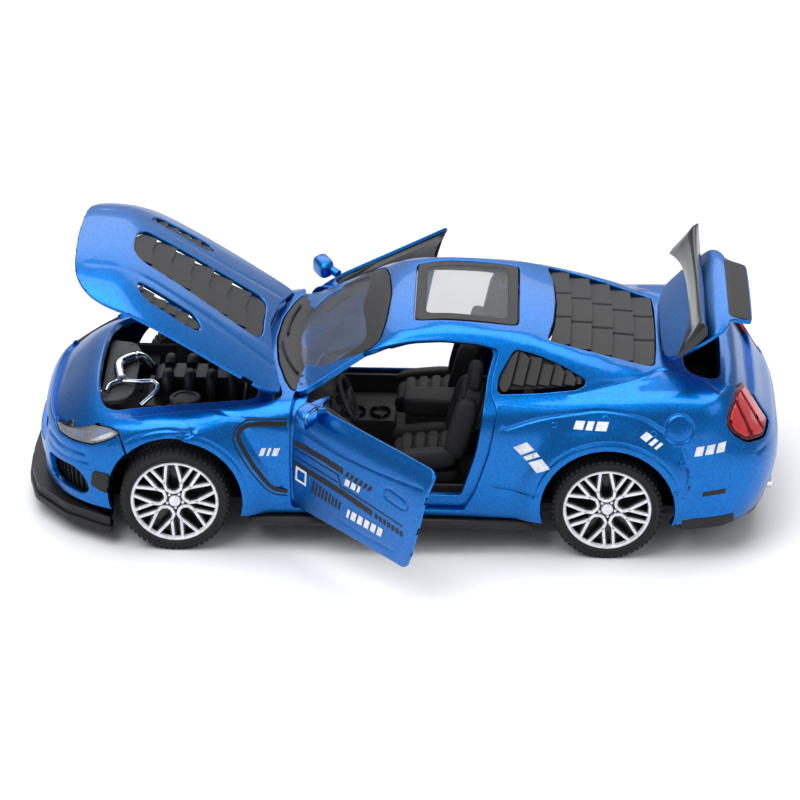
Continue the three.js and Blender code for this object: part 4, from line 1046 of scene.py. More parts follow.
LID_WINDOW = softened([(-12.4, 29.2), (-12.4, 32.2), (12.4, 32.2), (12.4, 29.2)], 0.4)
lid_loops = [read(FAN, LID), read(FAN, lift(BEHIND, LID_WINDOW))]
lid_skin = skin(FAN, lid_loops, step=1.3, rim=0.3, inner=True)
piece("boot_lid_panel", moved_by(lid_skin, OPEN_LID), "boot_lid", PAINT,
      nodes=["trunk_lid"])
tell("opening panels")

# %% [markdown]
# ## Plain solids
# Trim, cabin and mechanical parts are moulded shapes: flat outlines pushed through a thickness,
# turned rings, bars along a line and padded forms. Each gets rounded edges, as a moulding would.

# %% Builders for moulded parts
def prism(outline, start, end, axis="z"):
    """A flat outline pushed from start to end. Outlines are (x, y), (x, z) or (y, z)."""
    p = np.asarray(outline, float)
    n = len(p)
    columns = {"z": lambda c: stack(p[:, 0], p[:, 1], c),
               "y": lambda c: stack(p[:, 0], c, p[:, 1]),
               "x": lambda c: stack(c, p[:, 0], p[:, 1])}[axis]
    verts = np.concatenate([columns(start), columns(end)])
    q = np.roll(p, -1, axis=0)
    area = np.sum(p[:, 0] * q[:, 1] - q[:, 0] * p[:, 1])
    right = area > 0 if axis != "y" else area < 0
    faces = [tuple(range(n - 1, -1, -1)), tuple(range(n, 2 * n))]
    faces += [(i, (i + 1) % n, n + (i + 1) % n, n + i) for i in range(n)]
    if not right:
        faces = [tuple(reversed(f)) for f in faces]
    return verts, faces, None


def block(x0, x1, y0, y1, z0, z1):
    return prism([(x0, y0), (x1, y0), (x1, y1), (x0, y1)], z0, z1)


def turned(profile, centre, axis, sides=48):
    """A turned solid: profile points are (radius, distance along axis); closed when it ends on it."""
    axis = np.asarray(axis, float) / np.linalg.norm(axis)
    helper = np.array([0, 0, 1.0]) if abs(axis[2]) < 0.9 else np.array([1.0, 0, 0])
    u = np.cross(axis, helper)
    u /= np.linalg.norm(u)
    w = np.cross(axis, u)
    angles = np.arange(sides) * 2 * math.pi / sides
    circle = np.cos(angles)[:, None] * u + np.sin(angles)[:, None] * w
    verts = np.concatenate([np.asarray(centre) + axis * d + circle * max(r, 1e-3) for r, d in profile])
    faces = []
    for i in range(len(profile) - 1):
        for k in range(sides):
            a, b = i * sides + k, i * sides + (k + 1) % sides
            faces.append((a, b, b + sides, a + sides))
    faces.append(tuple(range(sides - 1, -1, -1)))
    last = (len(profile) - 1) * sides
    faces.append(tuple(range(last, last + sides)))
    return verts, faces, None


def hoop_ring(profile, centre, axis, sides=64):
    """A turned ring whose profile is a closed outline of (radius, distance)."""
    verts, faces, _ = turned(list(profile) + [profile[0]], centre, axis, sides)
    return verts, faces[:-2], None


def bar(points, radius, sides=8, flat=1.0, ring=False):
    """A round bar along 3-D points, with flat ends."""
    p = np.asarray(points, float)
    along = np.roll(p, -1, axis=0) - np.roll(p, 1, axis=0) if ring else np.gradient(p, axis=0)
    along /= np.linalg.norm(along, axis=1)[:, None]
    up = np.array([0, 0, 1.0])
    if abs(along[:, 2]).max() > 0.95:
        up = np.array([0, 1.0, 0]) if abs(along[:, 1]).max() < 0.9 else np.array([1.0, 0.13, 0.07])
    u = np.cross(along, up)
    u /= np.maximum(np.linalg.norm(u, axis=1), 1e-6)[:, None]
    w = np.cross(u, along)
    angles = np.arange(sides) * 2 * math.pi / sides
    radius = np.broadcast_to(np.asarray(radius, float), (len(p),))
    verts = (p[:, None, :] + radius[:, None, None] * (np.cos(angles)[None, :, None] * u[:, None, :]
             + flat * np.sin(angles)[None, :, None] * w[:, None, :])).reshape(-1, 3)
    faces = []
    rows = len(p) if ring else len(p) - 1
    for i in range(rows):
        for k in range(sides):
            a, b = i * sides + k, i * sides + (k + 1) % sides
            c, d = (i + 1) % len(p) * sides + (k + 1) % sides, (i + 1) % len(p) * sides + k
            faces.append((a, d, c, b))
    if not ring:
        faces.append(tuple(range(sides)))
        faces.append(tuple(range(len(verts) - 1, len(verts) - sides - 1, -1)))
    return verts, faces, None


def rounded_path(points, steps=6):
    """A smooth 3-D path through points."""
    p = np.asarray(points, float)
    ends = np.concatenate([2 * p[:1] - p[1:2], p, 2 * p[-1:] - p[-2:-1]])
    out = []
    for a, b, c, d in zip(ends, ends[1:], ends[2:], ends[3:]):
        for k in range(steps):
            t = k / steps
            out.append(0.5 * (2 * b + (c - a) * t + (2 * a - 5 * b + 4 * c - d) * t * t
                              + (3 * b - a - 3 * c + d) * t ** 3))
    out.append(p[-1])
    return np.array(out)


def pad(centre, size, power=4.0, lean=0.0, across=20, around=14):
    """A padded block: a box with swollen faces, leaning back about Y by degrees."""
    a = np.linspace(-math.pi / 2, math.pi / 2, around)
    b = np.arange(across * 2) * math.pi / across
    aa, bb = np.meshgrid(a, b, indexing="ij")

    def signed(value):
        return np.sign(value) * np.abs(value) ** (2 / power)

    unit = stack((signed(np.cos(aa)) * signed(np.cos(bb))).ravel(),
                 (signed(np.cos(aa)) * signed(np.sin(bb))).ravel(), signed(np.sin(aa)).ravel())
    verts = unit * np.asarray(size) / 2
    turn = np.array(Matrix.Rotation(lean * RAD, 3, "Y"))
    verts = verts @ turn.T + np.asarray(centre)
    m = across * 2
    faces = []
    for i in range(around - 1):
        for k in range(m):
            p, q = i * m + k, i * m + (k + 1) % m
            faces.append((p, q, q + m, p + m))
    return verts, faces, None


print("corners of a padded block", len(pad((0, 0, 0), (1, 1, 1))[0]))

# %% [markdown]
# ## Glass, vents and louvres
# The windows of a model like this are one clear moulding with the dark border printed on it. The
# vents and louvres are black slats. A slat rises slowly along the air stream and drops sharply at
# its rear edge. Each one is a strip cut to the outline, and a dark tray closes the row below.

# %% Windows
SCREEN_CLEAR = softened(closed([(-20.6, 0), (-19.9, 10), (-18.6, 15.4), (-16.6, 18.2), (-10.5, 16.3),
                                (-6.9, 14.8), (-7.3, 8), (-8.3, 0)]), 1.4)
SUNROOF_CLEAR = softened(closed([(4.6, 0), (4.6, 10.6), (20.8, 11.6), (20.8, 0)]), 1.0)
for name, outline, clear in (("windscreen", SCREEN, SCREEN_CLEAR),
                             ("sunroof", SUNROOF, SUNROOF_CLEAR)):
    pane = skin(OVER, [grown(clear, 0.4)], step=1.8, depth=0.12, wall=0.5, rim=0, inner=True)
    piece(name + "_pane", pane, "car_body", SMOKED, nodes=[name])
    band = skin(OVER, [outline, clear], step=1.6, depth=0.02, wall=0.7, rim=0.15)
    piece(name + "_border", band, "car_body", BORDER)
tell("windows")

# %% Slats
def span(outline, v):
    """Where the line at height v enters and leaves a flat outline."""
    p = np.asarray(outline, float)
    q = np.roll(p, -1, axis=0)
    hit = (p[:, 1] <= v) != (q[:, 1] <= v)
    if not hit.any():
        return None
    t = (v - p[hit, 1]) / (q[hit, 1] - p[hit, 1])
    u = p[hit, 0] + t * (q[hit, 0] - p[hit, 0])
    return float(u.min()), float(u.max())


def slatted(chart, outline, start, pitch, count, shallow, deep, slope=0.0, step=0.5, extra=()):
    """Slats across the first flat coordinate, edges at start + k * pitch, over a dark tray. A slat
    lies deep at its front edge and shallow at its rear. extra holds (centre, half width, depth)."""
    outline = np.asarray(outline, float)
    low_v, high_v = outline[:, 1].min() + 0.03, outline[:, 1].max() - 0.03
    levels = np.linspace(low_v, high_v, max(6, int((high_v - low_v) / step)))
    parts = []

    def depth(u, v, k):
        rise = (u - slope * abs(v) - start) / pitch - k
        value = deep + (shallow - deep) * rise
        for centre, half, extra_depth in extra:
            value += extra_depth * math.exp(-((v - centre) / half) ** 4)
        return value

    for k in range(count + 1):
        flat, down = [], []
        for v in levels:
            ends = span(outline, v)
            if ends is None:
                continue
            left = max(start + k * pitch + slope * abs(v), ends[0])
            right = min(start + (k + 1) * pitch + slope * abs(v), ends[1])
            if right - left < 0.05:
                continue
            for u in (left, (left + right) / 2, right, right):
                flat.append((u, v))
            down += [depth(u, v, k) for u in (left, (left + right) / 2, right)]
            down.append(deep + 0.35)
        rows = len(flat) // 4
        if rows < 2:
            continue
        verts = lift(chart, np.array(flat), np.array(down))
        faces = []
        for i in range(rows - 1):
            for j in range(3):
                c = 4 * i + j
                faces.append((c, c + 1, c + 5, c + 4))
        probe = np.cross(verts[1] - verts[0], verts[4] - verts[0]) @ outward(verts[:1])[0]
        if probe < 0:
            faces = [f[::-1] for f in faces]
        parts.append((verts, faces, None))
    tray = skin(chart, [grown(outline, 0.1)], depth=deep + 0.3, wall=0, rim=0)
    return merged(*parts, (tray[0], tray[1], None))


louvre = slatted(OVER, LOUVRE, 29.4, 4.15, 5, 0.0, 1.0, slope=-0.03,
                 extra=[(5.4, 0.32, 0.5), (-5.4, 0.32, 0.5)])
piece("rear_louvre_slats", louvre, "car_body", BLACK, nodes=["rear_louvre"])
for side, name in SIDES.items():
    slats = slatted(SIDE[side], QUARTER, 8.6, 2.5, 8, 0.1, 0.9, slope=0.3, step=0.8)
    piece("quarter_slats_" + name, slats, "car_body", BLACK,
          nodes=["quarter_louvre_" + name])
    vent = slatted(OVER, SIDE_VENT * [1, side], -59, 2.6, 7, 0.15, 0.85, step=0.7)
    piece("bonnet_side_vent_" + name, moved_by(vent, OPEN_HOOD), "bonnet", BLACK,
          nodes=["hood_side_vent_" + name])
vent = slatted(OVER, CENTRE_VENT, -61, 4.4, 7, 0.1, 0.9, slope=0.12, step=0.9)
piece("bonnet_centre_vent", moved_by(vent, OPEN_HOOD), "bonnet", BLACK,
      nodes=["hood_centre_vent"])
tell("slats")

# %% [markdown]
# ## Lamps
# A headlight is a clear cover over a bright bowl with two dark projectors. A tail lamp is a dark
# housing with three slanted red bars that wrap round the corner.

# %% Lamps
REACH = 1.4
LAMP_GAP = 0.35


def beside(chart, outline, panel_chart, panel, gap=LAMP_GAP):
    """A lamp outline whose points step back from the edge of the panel that closes next to it, when
    they lie under it by less than REACH."""
    points = lift(chart, spaced(read(chart, outline), 0.4))
    flat = read(panel_chart, points)
    blocked = spaced(grown(panel, gap), 0.2)
    for i in np.flatnonzero(within(flat, [blocked])):
        away = np.linalg.norm(blocked - flat[i], axis=1)
        if away.min() < REACH:
            points[i] = lift(panel_chart, blocked[away.argmin()][None])[0]
    kept = read(chart, points)
    keep = [0]
    for i in range(1, len(kept)):
        if np.linalg.norm(kept[i] - kept[keep[-1]]) > 0.15:
            keep.append(i)
    return kept[keep]


LAMP_FLAT = beside(LAMP_DOME, HEADLIGHT, OVER, HOOD)
cover = skin(LAMP_DOME, [LAMP_FLAT], step=1.0, wall=0.35, rim=0.15, inner=True)
bowl = skin(LAMP_DOME, [grown(LAMP_FLAT, 0.2)], step=1.0, depth=1.5, wall=0.3, rim=0)
edge = skin(LAMP_DOME, [grown(LAMP_FLAT, 0.12), grown(LAMP_FLAT, -0.3)], step=0.8, depth=0.42,
            wall=1.2, rim=0)
projectors = []
for place, r in (((-65.6, 20.4, 22.2), 1.15), ((-61.6, 24.0, 22.9), 1.05)):
    spot = snapped([place], LAMP_DOME)
    n = outward(spot)[0]
    base = spot[0] - n * 1.7
    barrel = [(r * 1.25, 0), (r * 1.25, 0.5), (r, 0.75), (r * 0.8, 0.5), (r * 0.5, 0.75), (0, 0.85)]
    projectors.append(turned(barrel, base, n, 24))
for side, name in SIDES.items():
    piece("headlight_cover_" + name, on_side(cover, side), "car_body", LENS,
          nodes=["headlight_" + name])
    piece("headlight_bowl_" + name, on_side(bowl, side), "car_body", REFLECTOR)
    piece("headlight_edge_" + name, on_side(edge, side), "car_body", BLACK)
    piece("headlight_projectors_" + name, on_side(merged(*projectors), side), "car_body",
          GLOSS, sharp=50)

TAIL_FLAT = beside(TAIL_DOME, TAIL_LAMP, FAN, read(FAN, LID))
housing = skin(TAIL_DOME, [TAIL_FLAT], step=1.1, depth=0.35, wall=0.8, rim=0.2)
u0, v0 = TAIL_FLAT.min(axis=0)
u1, v1 = TAIL_FLAT.max(axis=0)
inner_edge = grown(TAIL_FLAT, -0.6)
inset = spaced(inner_edge, 0.25)
bars = []
for k in range(3):
    left = u0 + (u1 - u0) * (0.06 + 0.3 * k)
    right = left + (u1 - u0) * 0.23
    lean = (u1 - u0) * 0.1
    strip = spaced([(left, v0), (right, v0), (right + lean, v1), (left + lean, v1)], 0.3)
    strip = strip[within(strip, [inner_edge])]
    if len(strip) > 8:
        centre = strip.mean(axis=0)
        lo_u = left + lean / (v1 - v0) * (inset[:, 1] - v0)
        hi_u = lo_u + (right - left)
        cloud = np.concatenate([strip, inset[(inset[:, 0] > lo_u) & (inset[:, 0] < hi_u)]])
        order = np.argsort(np.arctan2(cloud[:, 1] - centre[1], cloud[:, 0] - centre[0]))
        bars.append(skin(TAIL_DOME, [cloud[order]], step=0.8, depth=-0.05, wall=0.5, rim=0.2))
for side, name in SIDES.items():
    piece("tail_lamp_housing_" + name, on_side(housing, side), "car_body", DARK_RED,
          nodes=["tail_light_" + name])
    piece("tail_lamp_bars_" + name, on_side(merged(*bars), side), "car_body", RED_LENS)
tell("lamps")

# %% [markdown]
# ## Trim under and behind the car
# The splitter, skirts and diffuser are thin black blades that follow the lower edge of the body.
# The wing is a crescent with hooked ends that stands on the lid.

# %% Splitter, skirts, diffuser, grilles and exhaust
SPLITTER = softened(closed([(-75.6, 0), (-75.2, 8), (-73.2, 16), (-66.4, 24), (-57.6, 29.4),
                            (-56.4, 29.4), (-56.4, 26.2), (-64, 22), (-68.6, 14), (-69.4, 0)]), 0.8)
DIFFUSER = softened(closed([(73.6, 0), (73, 12), (70.4, 20), (64, 26.6), (56.6, 28.6), (55.4, 28.4),
                            (55.4, 22), (62, 18), (66, 10), (66, 0)]), 0.8)
SKIRT_END = 14.7
lip = grown(SPLITTER, -0.5)
splitter = merged(prism(SPLITTER, 3.05, 4.3), prism(lip, 4.2, 6.35))
piece("front_splitter_blade", splitter, "car_body", BLACK,
      nodes=["front_splitter"], bevel=0.3)
fins = [block(66.5, 71.2, y - 0.35, y + 0.35, 4.25, 7.2) for y in (-9, -5.4, -1.8, 1.8, 5.4, 9)]
diffuser = merged(prism(DIFFUSER, 5.7, 7.25), *fins)
piece("rear_diffuser_blade", diffuser, "car_body", BLACK,
      nodes=["rear_diffuser"], bevel=0.25)
SKIRT = [(26.8, 5.3), (29.1, 5.3), (29.9, 6.2), (29.0, 7.25), (27, 7.25)]
skirt = prism(SKIRT, AXLE_F + SKIRT_END, AXLE_R - SKIRT_END, "x")
for side, name in SIDES.items():
    piece("side_skirt_blade_" + name, on_side(skirt, side), "car_body", BLACK,
          nodes=["side_skirt_" + name], bevel=0.25)
pipes = []
for side in (1, -1):
    ring = [(1.6, 0), (1.6, 4.8), (1.35, 4.95), (1.15, 4.8), (1.15, 2.0), (0, 2.0)]
    pipes.append(turned(ring, (69, side * EXHAUST_Y, EXHAUST_Z), (1, 0, 0), 32))
pipes.append(bar([(68.4, y, EXHAUST_Z) for y in (-EXHAUST_Y, 0, EXHAUST_Y)], 0.9, 12))
piece("exhaust_tips", merged(*pipes), "car_body", PLATING, nodes=["exhaust"],
      sharp=40)
WIRE = 0.22
mesh_bars = []
for low_z, high_z, half in ((9, 12.2, 14), (15.6, 20.4, 14.6)):
    for k in range(int((high_z - low_z) / 0.8) + 1):
        z = low_z + k * 0.8
        mesh_bars.append(block(-69.6, -69.2, -half, half, z, z + WIRE))
    for k in range(int(2 * half / 1.3) + 1):
        y = -half + k * 1.3
        mesh_bars.append(block(-69.7, -69.3, y, y + WIRE, low_z, high_z))
mesh_bars.append(block(-68.9, -68.2, -14.6, 14.6, 8.6, 20.8))
piece("front_grille_mesh", merged(*mesh_bars), "car_body", BLACK,
      nodes=["front_grille"])
duct_flat = read(NOSE, lift(AHEAD, DUCT))
duct = slatted(NOSE, grown(duct_flat, 0.4), duct_flat[:, 0].min(), 1.3, 12, 1.5, 2.1, step=0.8)
for side, name in SIDES.items():
    piece("bumper_duct_mesh_" + name, on_side(duct, side), "car_body", MATT,
          nodes=["bumper_duct_" + name])
tell("trim")

# %% Wing and lid panel
def wing_blade(rows=49, half=23.9):
    """The crescent: one section set along the width, longer and taller towards the ends."""
    upper = [(0, 0), (0.5, 0.45), (1.6, 0.85), (2.8, 1.25), (3.7, 1.55), (4.0, 1.4)]
    lower = [(4.0, 1.0), (3.6, -0.7), (2.8, -1.9), (1.6, -2.2), (0.3, -1.6)]
    section = np.array(upper + lower)
    verts = []
    for i in range(rows):
        s = 2 * i / (rows - 1) - 1
        end = abs(s)
        tip = 1 - 0.35 * ease((end - 0.93) / 0.07)
        x = 60 - 3.4 * end ** 3
        z = 36.3 + 0.6 * end ** 2
        long, tall = 1 + 1.2 * end ** 3, (1 + 0.5 * end ** 2) * tip
        for a, b in section:
            below = min(b, 0) * (1 - 0.8 * end ** 2) + max(b, 0)
            verts.append((x + a * long, half * s, z + below * tall))
    m = len(section)
    faces = []
    for i in range(rows - 1):
        for k in range(m):
            a, b = i * m + k, i * m + (k + 1) % m
            faces.append((a, b, b + m, a + m))
    faces.append(tuple(range(m - 1, -1, -1)))
    faces.append(tuple(range((rows - 1) * m, rows * m)))
    return np.array(verts, float), faces, None


posts = [block(60.8, 62.5, y - 0.5, y + 0.5, 34.6, 36.7) for y in (14, -14)]
piece("rear_wing_blade", moved_by(merged(wing_blade(), *posts), OPEN_LID), "boot_lid", GLOSS,
      nodes=["rear_wing"], sharp=50)
LID_PANEL = softened([(-13.0, 28.9), (-13.2, 32.9), (13.2, 32.9), (13.0, 28.9)], 0.8)
lid_panel = skin(FAN, [read(FAN, lift(BEHIND, LID_PANEL))], step=1.2, depth=-0.12, wall=0.6,
                 rim=0.3, inner=True)
piece("lid_black_panel", moved_by(lid_panel, OPEN_LID), "boot_lid", BLACK,
      nodes=["lid_rear_panel"])
tell("wing")

# %% [markdown]
# ## Wheels
# The wheel is a black dish with bright lines along the edges of its spokes. Five U-shaped loops
# start close to the hub, and each leg splits into two lines that run to the rim. The tyre is a low
# band with cut tread blocks on its shoulders.

# %% Wheels and tyres
TYRE_R = 10.8
LOOP_COUNT = 5
TREAD_BLOCKS = 56


def polar(radius, degrees):
    return np.array([radius * math.cos(degrees * RAD), radius * math.sin(degrees * RAD)])


def ribbon(points, width, start, end):
    """A flat strip of constant width along 2-D points, pushed along Y."""
    p = np.asarray(points, float)
    along = np.diff(p, axis=0)
    along /= np.linalg.norm(along, axis=1)[:, None]
    normal = np.stack([-along[:, 1], along[:, 0]], axis=1)
    first, last = normal[:1], normal[-1:]
    middle = normal[:-1] + normal[1:]
    middle /= np.maximum(1 + np.sum(normal[:-1] * normal[1:], axis=1), 0.4)[:, None]
    offset = np.concatenate([first, middle, last]) * width / 2
    shapes = []
    left, right = p + offset, p - offset
    for i in range(len(p) - 1):
        shapes.append(prism([left[i], left[i + 1], right[i + 1], right[i]], start, end, "y"))
    return shapes


def wheel_lines(width, start, end, angle):
    """The five loops with their split legs, as flat strips."""
    shapes = []
    for k in range(LOOP_COUNT):
        turn = angle + 360 / LOOP_COUNT * k
        loop = [polar(r, turn + a) for r, a in ((4.35, 23), (2.95, 29), (1.95, 12), (1.95, -12),
                                                (2.95, -29), (4.35, -23))]
        shapes += ribbon(loop, width, start, end)
        for side in (1, -1):
            split = polar(4.2, turn + side * 23)
            shapes += ribbon([split, polar(8.3, turn + side * 6.6)], width, start, end)
            shapes += ribbon([split, polar(8.3, turn + side * 30)], width, start, end)
    return shapes


def shifted(shape, offset):
    return shape[0] + np.asarray(offset), shape[1], shape[2]


def make_wheel(axle, body, end, side, angle):
    """The bright face, the dark dish and the tyre of one wheel, drawn for the right side."""
    place = (axle, 0, TYRE_R)
    hub, out = (0, 0, 0), RIGHTWARD
    face = [turned([(1.15, 29.2), (1.15, 30.1), (0.95, 30.3), (0, 30.35)], hub, out, 24)]
    face.append(hoop_ring([(8.72, 29.4), (8.72, 30.25), (8.5, 30.45), (8.2, 30.35), (8.0, 29.9),
                           (8.0, 29.4)], hub, out))
    face += wheel_lines(0.56, 29.5, 30.1, angle)
    dark = [turned([(8.7, 23.4), (8.7, 29.5), (8.05, 29.5), (7.7, 28.2), (6.2, 27.3), (2.2, 27.6),
                    (1.6, 29.4), (0, 29.5)], hub, out, 64)]
    dark += wheel_lines(1.15, 27.6, 29.5, angle)
    inner = [turned([(8.6, 23.3), (7.4, 23.3), (7.0, 25.8), (3, 26.2), (2.4, 24.2), (1.1, 24.0),
                     (0, 24.0)], hub, out, 48)]
    lug = []
    for k in range(5):
        x, z = polar(1.62, angle + 36 + 72 * k)
        lug.append(turned([(0.3, 28.9), (0.3, 29.9), (0, 29.95)], (x, 0, z), out, 8))
    carcass = hoop_ring([(8.75, 23.6), (9.4, 23.25), (10.2, 23.35), (10.5, 23.8), (10.56, 24.6),
                         (10.56, 29.4), (10.5, 30.2), (10.2, 30.62), (9.7, 30.75), (9.1, 30.7),
                         (8.75, 30.3)], hub, out, 72)
    tread = [carcass, hoop_ring([(9.5, 30.6), (9.5, 30.8), (9.38, 30.8), (9.38, 30.6)], hub, out, 72)]
    for k in range(TREAD_BLOCKS):
        a = 360 / TREAD_BLOCKS * k
        w = 360 / TREAD_BLOCKS * 0.31
        for y0, y1, skew in ((23.6, 25.9, 0.5), (26.25, 27.75, 0), (28.1, 30.35, 0.5)):
            c = a + skew * 360 / TREAD_BLOCKS
            outline = [polar(10.4, c - w), polar(10.79, c - w * 0.94), polar(10.79, c + w * 0.94),
                       polar(10.4, c + w)]
            tread.append(prism(outline, y0, y1, "y"))

    def wheel_piece(name, shapes, finish, nodes=(), sharp=35, bevel=0.0):
        shape = on_side(shifted(merged(*shapes), place), side)
        piece(f"{name}_{end}_{SIDES[side]}", shape, body, finish, nodes, sharp, bevel)

    wheel_piece("wheel_face", face + lug, WHEEL_WHITE,
                [f"{end}_wheel_{SIDES[side]}"], 30, 0.07)
    wheel_piece("wheel_dish", dark + inner, GLOSS, sharp=40)
    wheel_piece("tyre", tread, RUBBER, [f"{end}_tyre_{SIDES[side]}"])


for end, axle in (("front", AXLE_F), ("rear", AXLE_R)):
    for side in SIDES:
        make_wheel(axle, end + "_axle_set", end, side, 94)
tell("wheels")

# %% [markdown]
# ## Cabin
# Everything inside is black plastic: two bucket seats with raised bolsters, a console with two cup
# holders and an armrest, the dashboard with the wheel on the left, and a rear bench.

# %% Seats, console and dashboard
def seat(side):
    """A bucket seat: cushion, back, headrest, four bolsters, base and ribbed pads."""
    y = side * 12.3
    shapes = [
        pad((5.2, y, 13.4), (13.4, 9.2, 4.6), 5, lean=-6),
        pad((12.9, y, 21.6), (4.2, 8.8, 15.6), 5, lean=14),
        pad((14.6, y, 30.6), (3.0, 7.0, 5.4), 3.2, lean=8),
        pad((4.6, y - 5.4, 14.6), (13.0, 2.7, 4.8), 3.2, lean=-6),
        pad((4.6, y + 5.4, 14.6), (13.0, 2.7, 4.8), 3.2, lean=-6),
        pad((11.9, y - 5.2, 21.4), (4.6, 2.8, 13.6), 3.2, lean=14),
        pad((11.9, y + 5.2, 21.4), (4.6, 2.8, 13.6), 3.2, lean=14),
        pad((5.6, y, 10.7), (12.4, 11.6, 3.0), 6),
    ]
    for k in range(4):
        shapes.append(pad((1.2 + 2.6 * k, y, 15.62 + 0.27 * k), (2.3, 7.4, 0.9), 3, lean=-6,
                          across=10, around=8))
    for k in range(5):
        shapes.append(pad((9.9 + 0.62 * k, y, 17.6 + 2.5 * k), (1.0, 7.2, 2.3), 3, lean=14,
                          across=10, around=8))
    return merged(*shapes)


for side, name in SIDES.items():
    piece("seat_pads_" + name, seat(side), "car_body", CABIN,
          nodes=["seat_" + name], sharp=60)
tub = [block(-22.6, 25.4, -24.2, 24.2, 7.1, 8.2), block(25.2, 50.6, -19.6, 19.6, 18.4, 19.4)]
for side in (1, -1):
    tub.append(block(-22.6, 25.4, side * 23.8 - 0.4, side * 23.8 + 0.4, 8.1, 12.3))
    tub.append(block(-15.5, -5.5, side * 13 - 6.5, side * 13 + 6.5, 8.2, 8.7))
    for k in range(6):
        tub.append(block(-15 + 1.6 * k, -14.2 + 1.6 * k, side * 13 - 6, side * 13 + 6, 8.6, 8.95))
tub.append(block(-22.6, -21.8, -24.2, 24.2, 8.1, 12.3))
tub.append(prism([(-20, 8), (-20, 12.6), (-14, 14), (25, 14), (25, 8)], -3.5, 3.5, "y"))
CUP_BLOCK = softened([(-12.6, 13.6), (-12.6, 15.2), (-11.8, 15.6), (-1.4, 15.6), (-1.4, 13.6)], 0.3)
BENCH_FOOT = softened([(24.4, 8), (24.4, 18.6), (35.6, 19.2), (27.2, 17.4), (27.2, 8)], 0.4)
tub.append(prism(CUP_BLOCK, -3.4, 3.4, "y"))
tub.append(prism(BENCH_FOOT, -19.4, 19.4, "y"))
piece("cabin_floor", merged(*tub), "car_body", CABIN, nodes=["cabin_tub"],
      bevel=0.3)
console = [pad((7.5, 0, 18.4), (15, 6.8, 4.0), 6), block(0.6, 14.4, -3.0, 3.0, 13.6, 17.4)]
piece("armrest", merged(*console), "car_body", CABIN, bevel=0.4, sharp=50)
cups = []
for x in (-9.6, -4.6):
    cups.append(hoop_ring([(2.15, 15.4), (2.15, 16.1), (1.95, 16.3), (1.75, 16.1), (1.75, 14.2),
                           (1.9, 14.0), (2.1, 14.2)], (x, 0, 0), UPWARD, 32))
    cups.append(turned([(1.75, 14.6), (1.75, 14.9), (0, 14.9)], (x, 0, 0), UPWARD, 32))
cups.append(bar([(-15.6, 0, 13.6), (-15.9, 0, 16.2), (-16.3, 0, 18.0)], 0.35, 10))
cups.append(pad((-16.5, 0, 18.9), (1.9, 1.9, 2.3), 2.6, across=10, around=10))
cups.append(pad((-15.7, 0, 14.5), (4.2, 4.2, 1.2), 3, across=12, around=8))
piece("cup_holders", merged(*cups), "car_body", GLOSS, sharp=50)
bench = [pad((31.6, side * 10.2, 20.3), (11.4, 17.4, 3.6), 5, lean=2) for side in (1, -1)]
bench += [pad((39.7, side * 10.0, 25.2), (3.6, 16.6, 10.2), 5, lean=24) for side in (1, -1)]
piece("rear_bench", merged(*bench), "car_body", CABIN, sharp=60)
DASH = softened([(-20.3, 20.2), (-20.3, 28.3), (-18.8, 29.2), (-15.6, 28.8), (-14.2, 27.3), (-14.4, 24.4),
                 (-16.6, 20.8)], 0.9)
dash = [prism(DASH, -21.2, 21.2, "y"), pad((-15.2, -12, 27.9), (4.6, 8.6, 2.2), 4)]
STACK = softened([(-17.6, 13.6), (-17.6, 21.5), (-14.6, 24), (-14.2, 20), (-15.2, 13.6)], 0.4)
dash.append(prism(STACK, -3.4, 3.4, "y"))
for y in (-18.8, -5.2, 5.2, 18.8):
    dash.append(hoop_ring([(1.25, 0), (1.25, 0.45), (1.0, 0.55), (0.85, 0.3), (0.85, 0)],
                          (-14.5, y, 25.9), (1, 0, 0.12), 24))
for k in range(3):
    dash.append(block(-14.6, -14.15, -2.6, 2.6, 21.2 + 1.3 * k, 21.9 + 1.3 * k))
piece("dashboard_moulding", merged(*dash), "car_body", CABIN,
      nodes=["dashboard"], bevel=0.25, sharp=50)
COLUMN_RISE = 0.42
WHEEL_AT = np.array([-10.6, -12, 25.2])
WHEEL_AXIS = np.array([1, 0, COLUMN_RISE]) / math.hypot(1, COLUMN_RISE)
rim_u = np.array([0, 1.0, 0])
rim_w = np.cross(WHEEL_AXIS, rim_u)
angles = np.linspace(0, 2 * math.pi, 48, endpoint=False)
circle = WHEEL_AT + 4.5 * (np.cos(angles)[:, None] * rim_u + np.sin(angles)[:, None] * rim_w)
wheel = [bar(circle, 0.5, 10, ring=True)]
hub_point = WHEEL_AT - WHEEL_AXIS * 0.4
for a in (0, math.pi, -math.pi / 2 if rim_w[2] > 0 else math.pi / 2):
    tip = WHEEL_AT + 4.3 * (math.cos(a) * rim_u + math.sin(a) * rim_w)
    wheel.append(bar([hub_point, hub_point * 0.5 + tip * 0.5, tip], [0.85, 0.6, 0.5], 8))
wheel.append(turned([(1.0, -2.4), (1.2, -0.6), (1.5, 0.1), (1.3, 0.5), (0, 0.65)], WHEEL_AT,
                    WHEEL_AXIS, 24))
piece("steering_wheel_rim", merged(*wheel), "car_body", CABIN,
      nodes=["steering_wheel"], sharp=50)
tell("cabin")

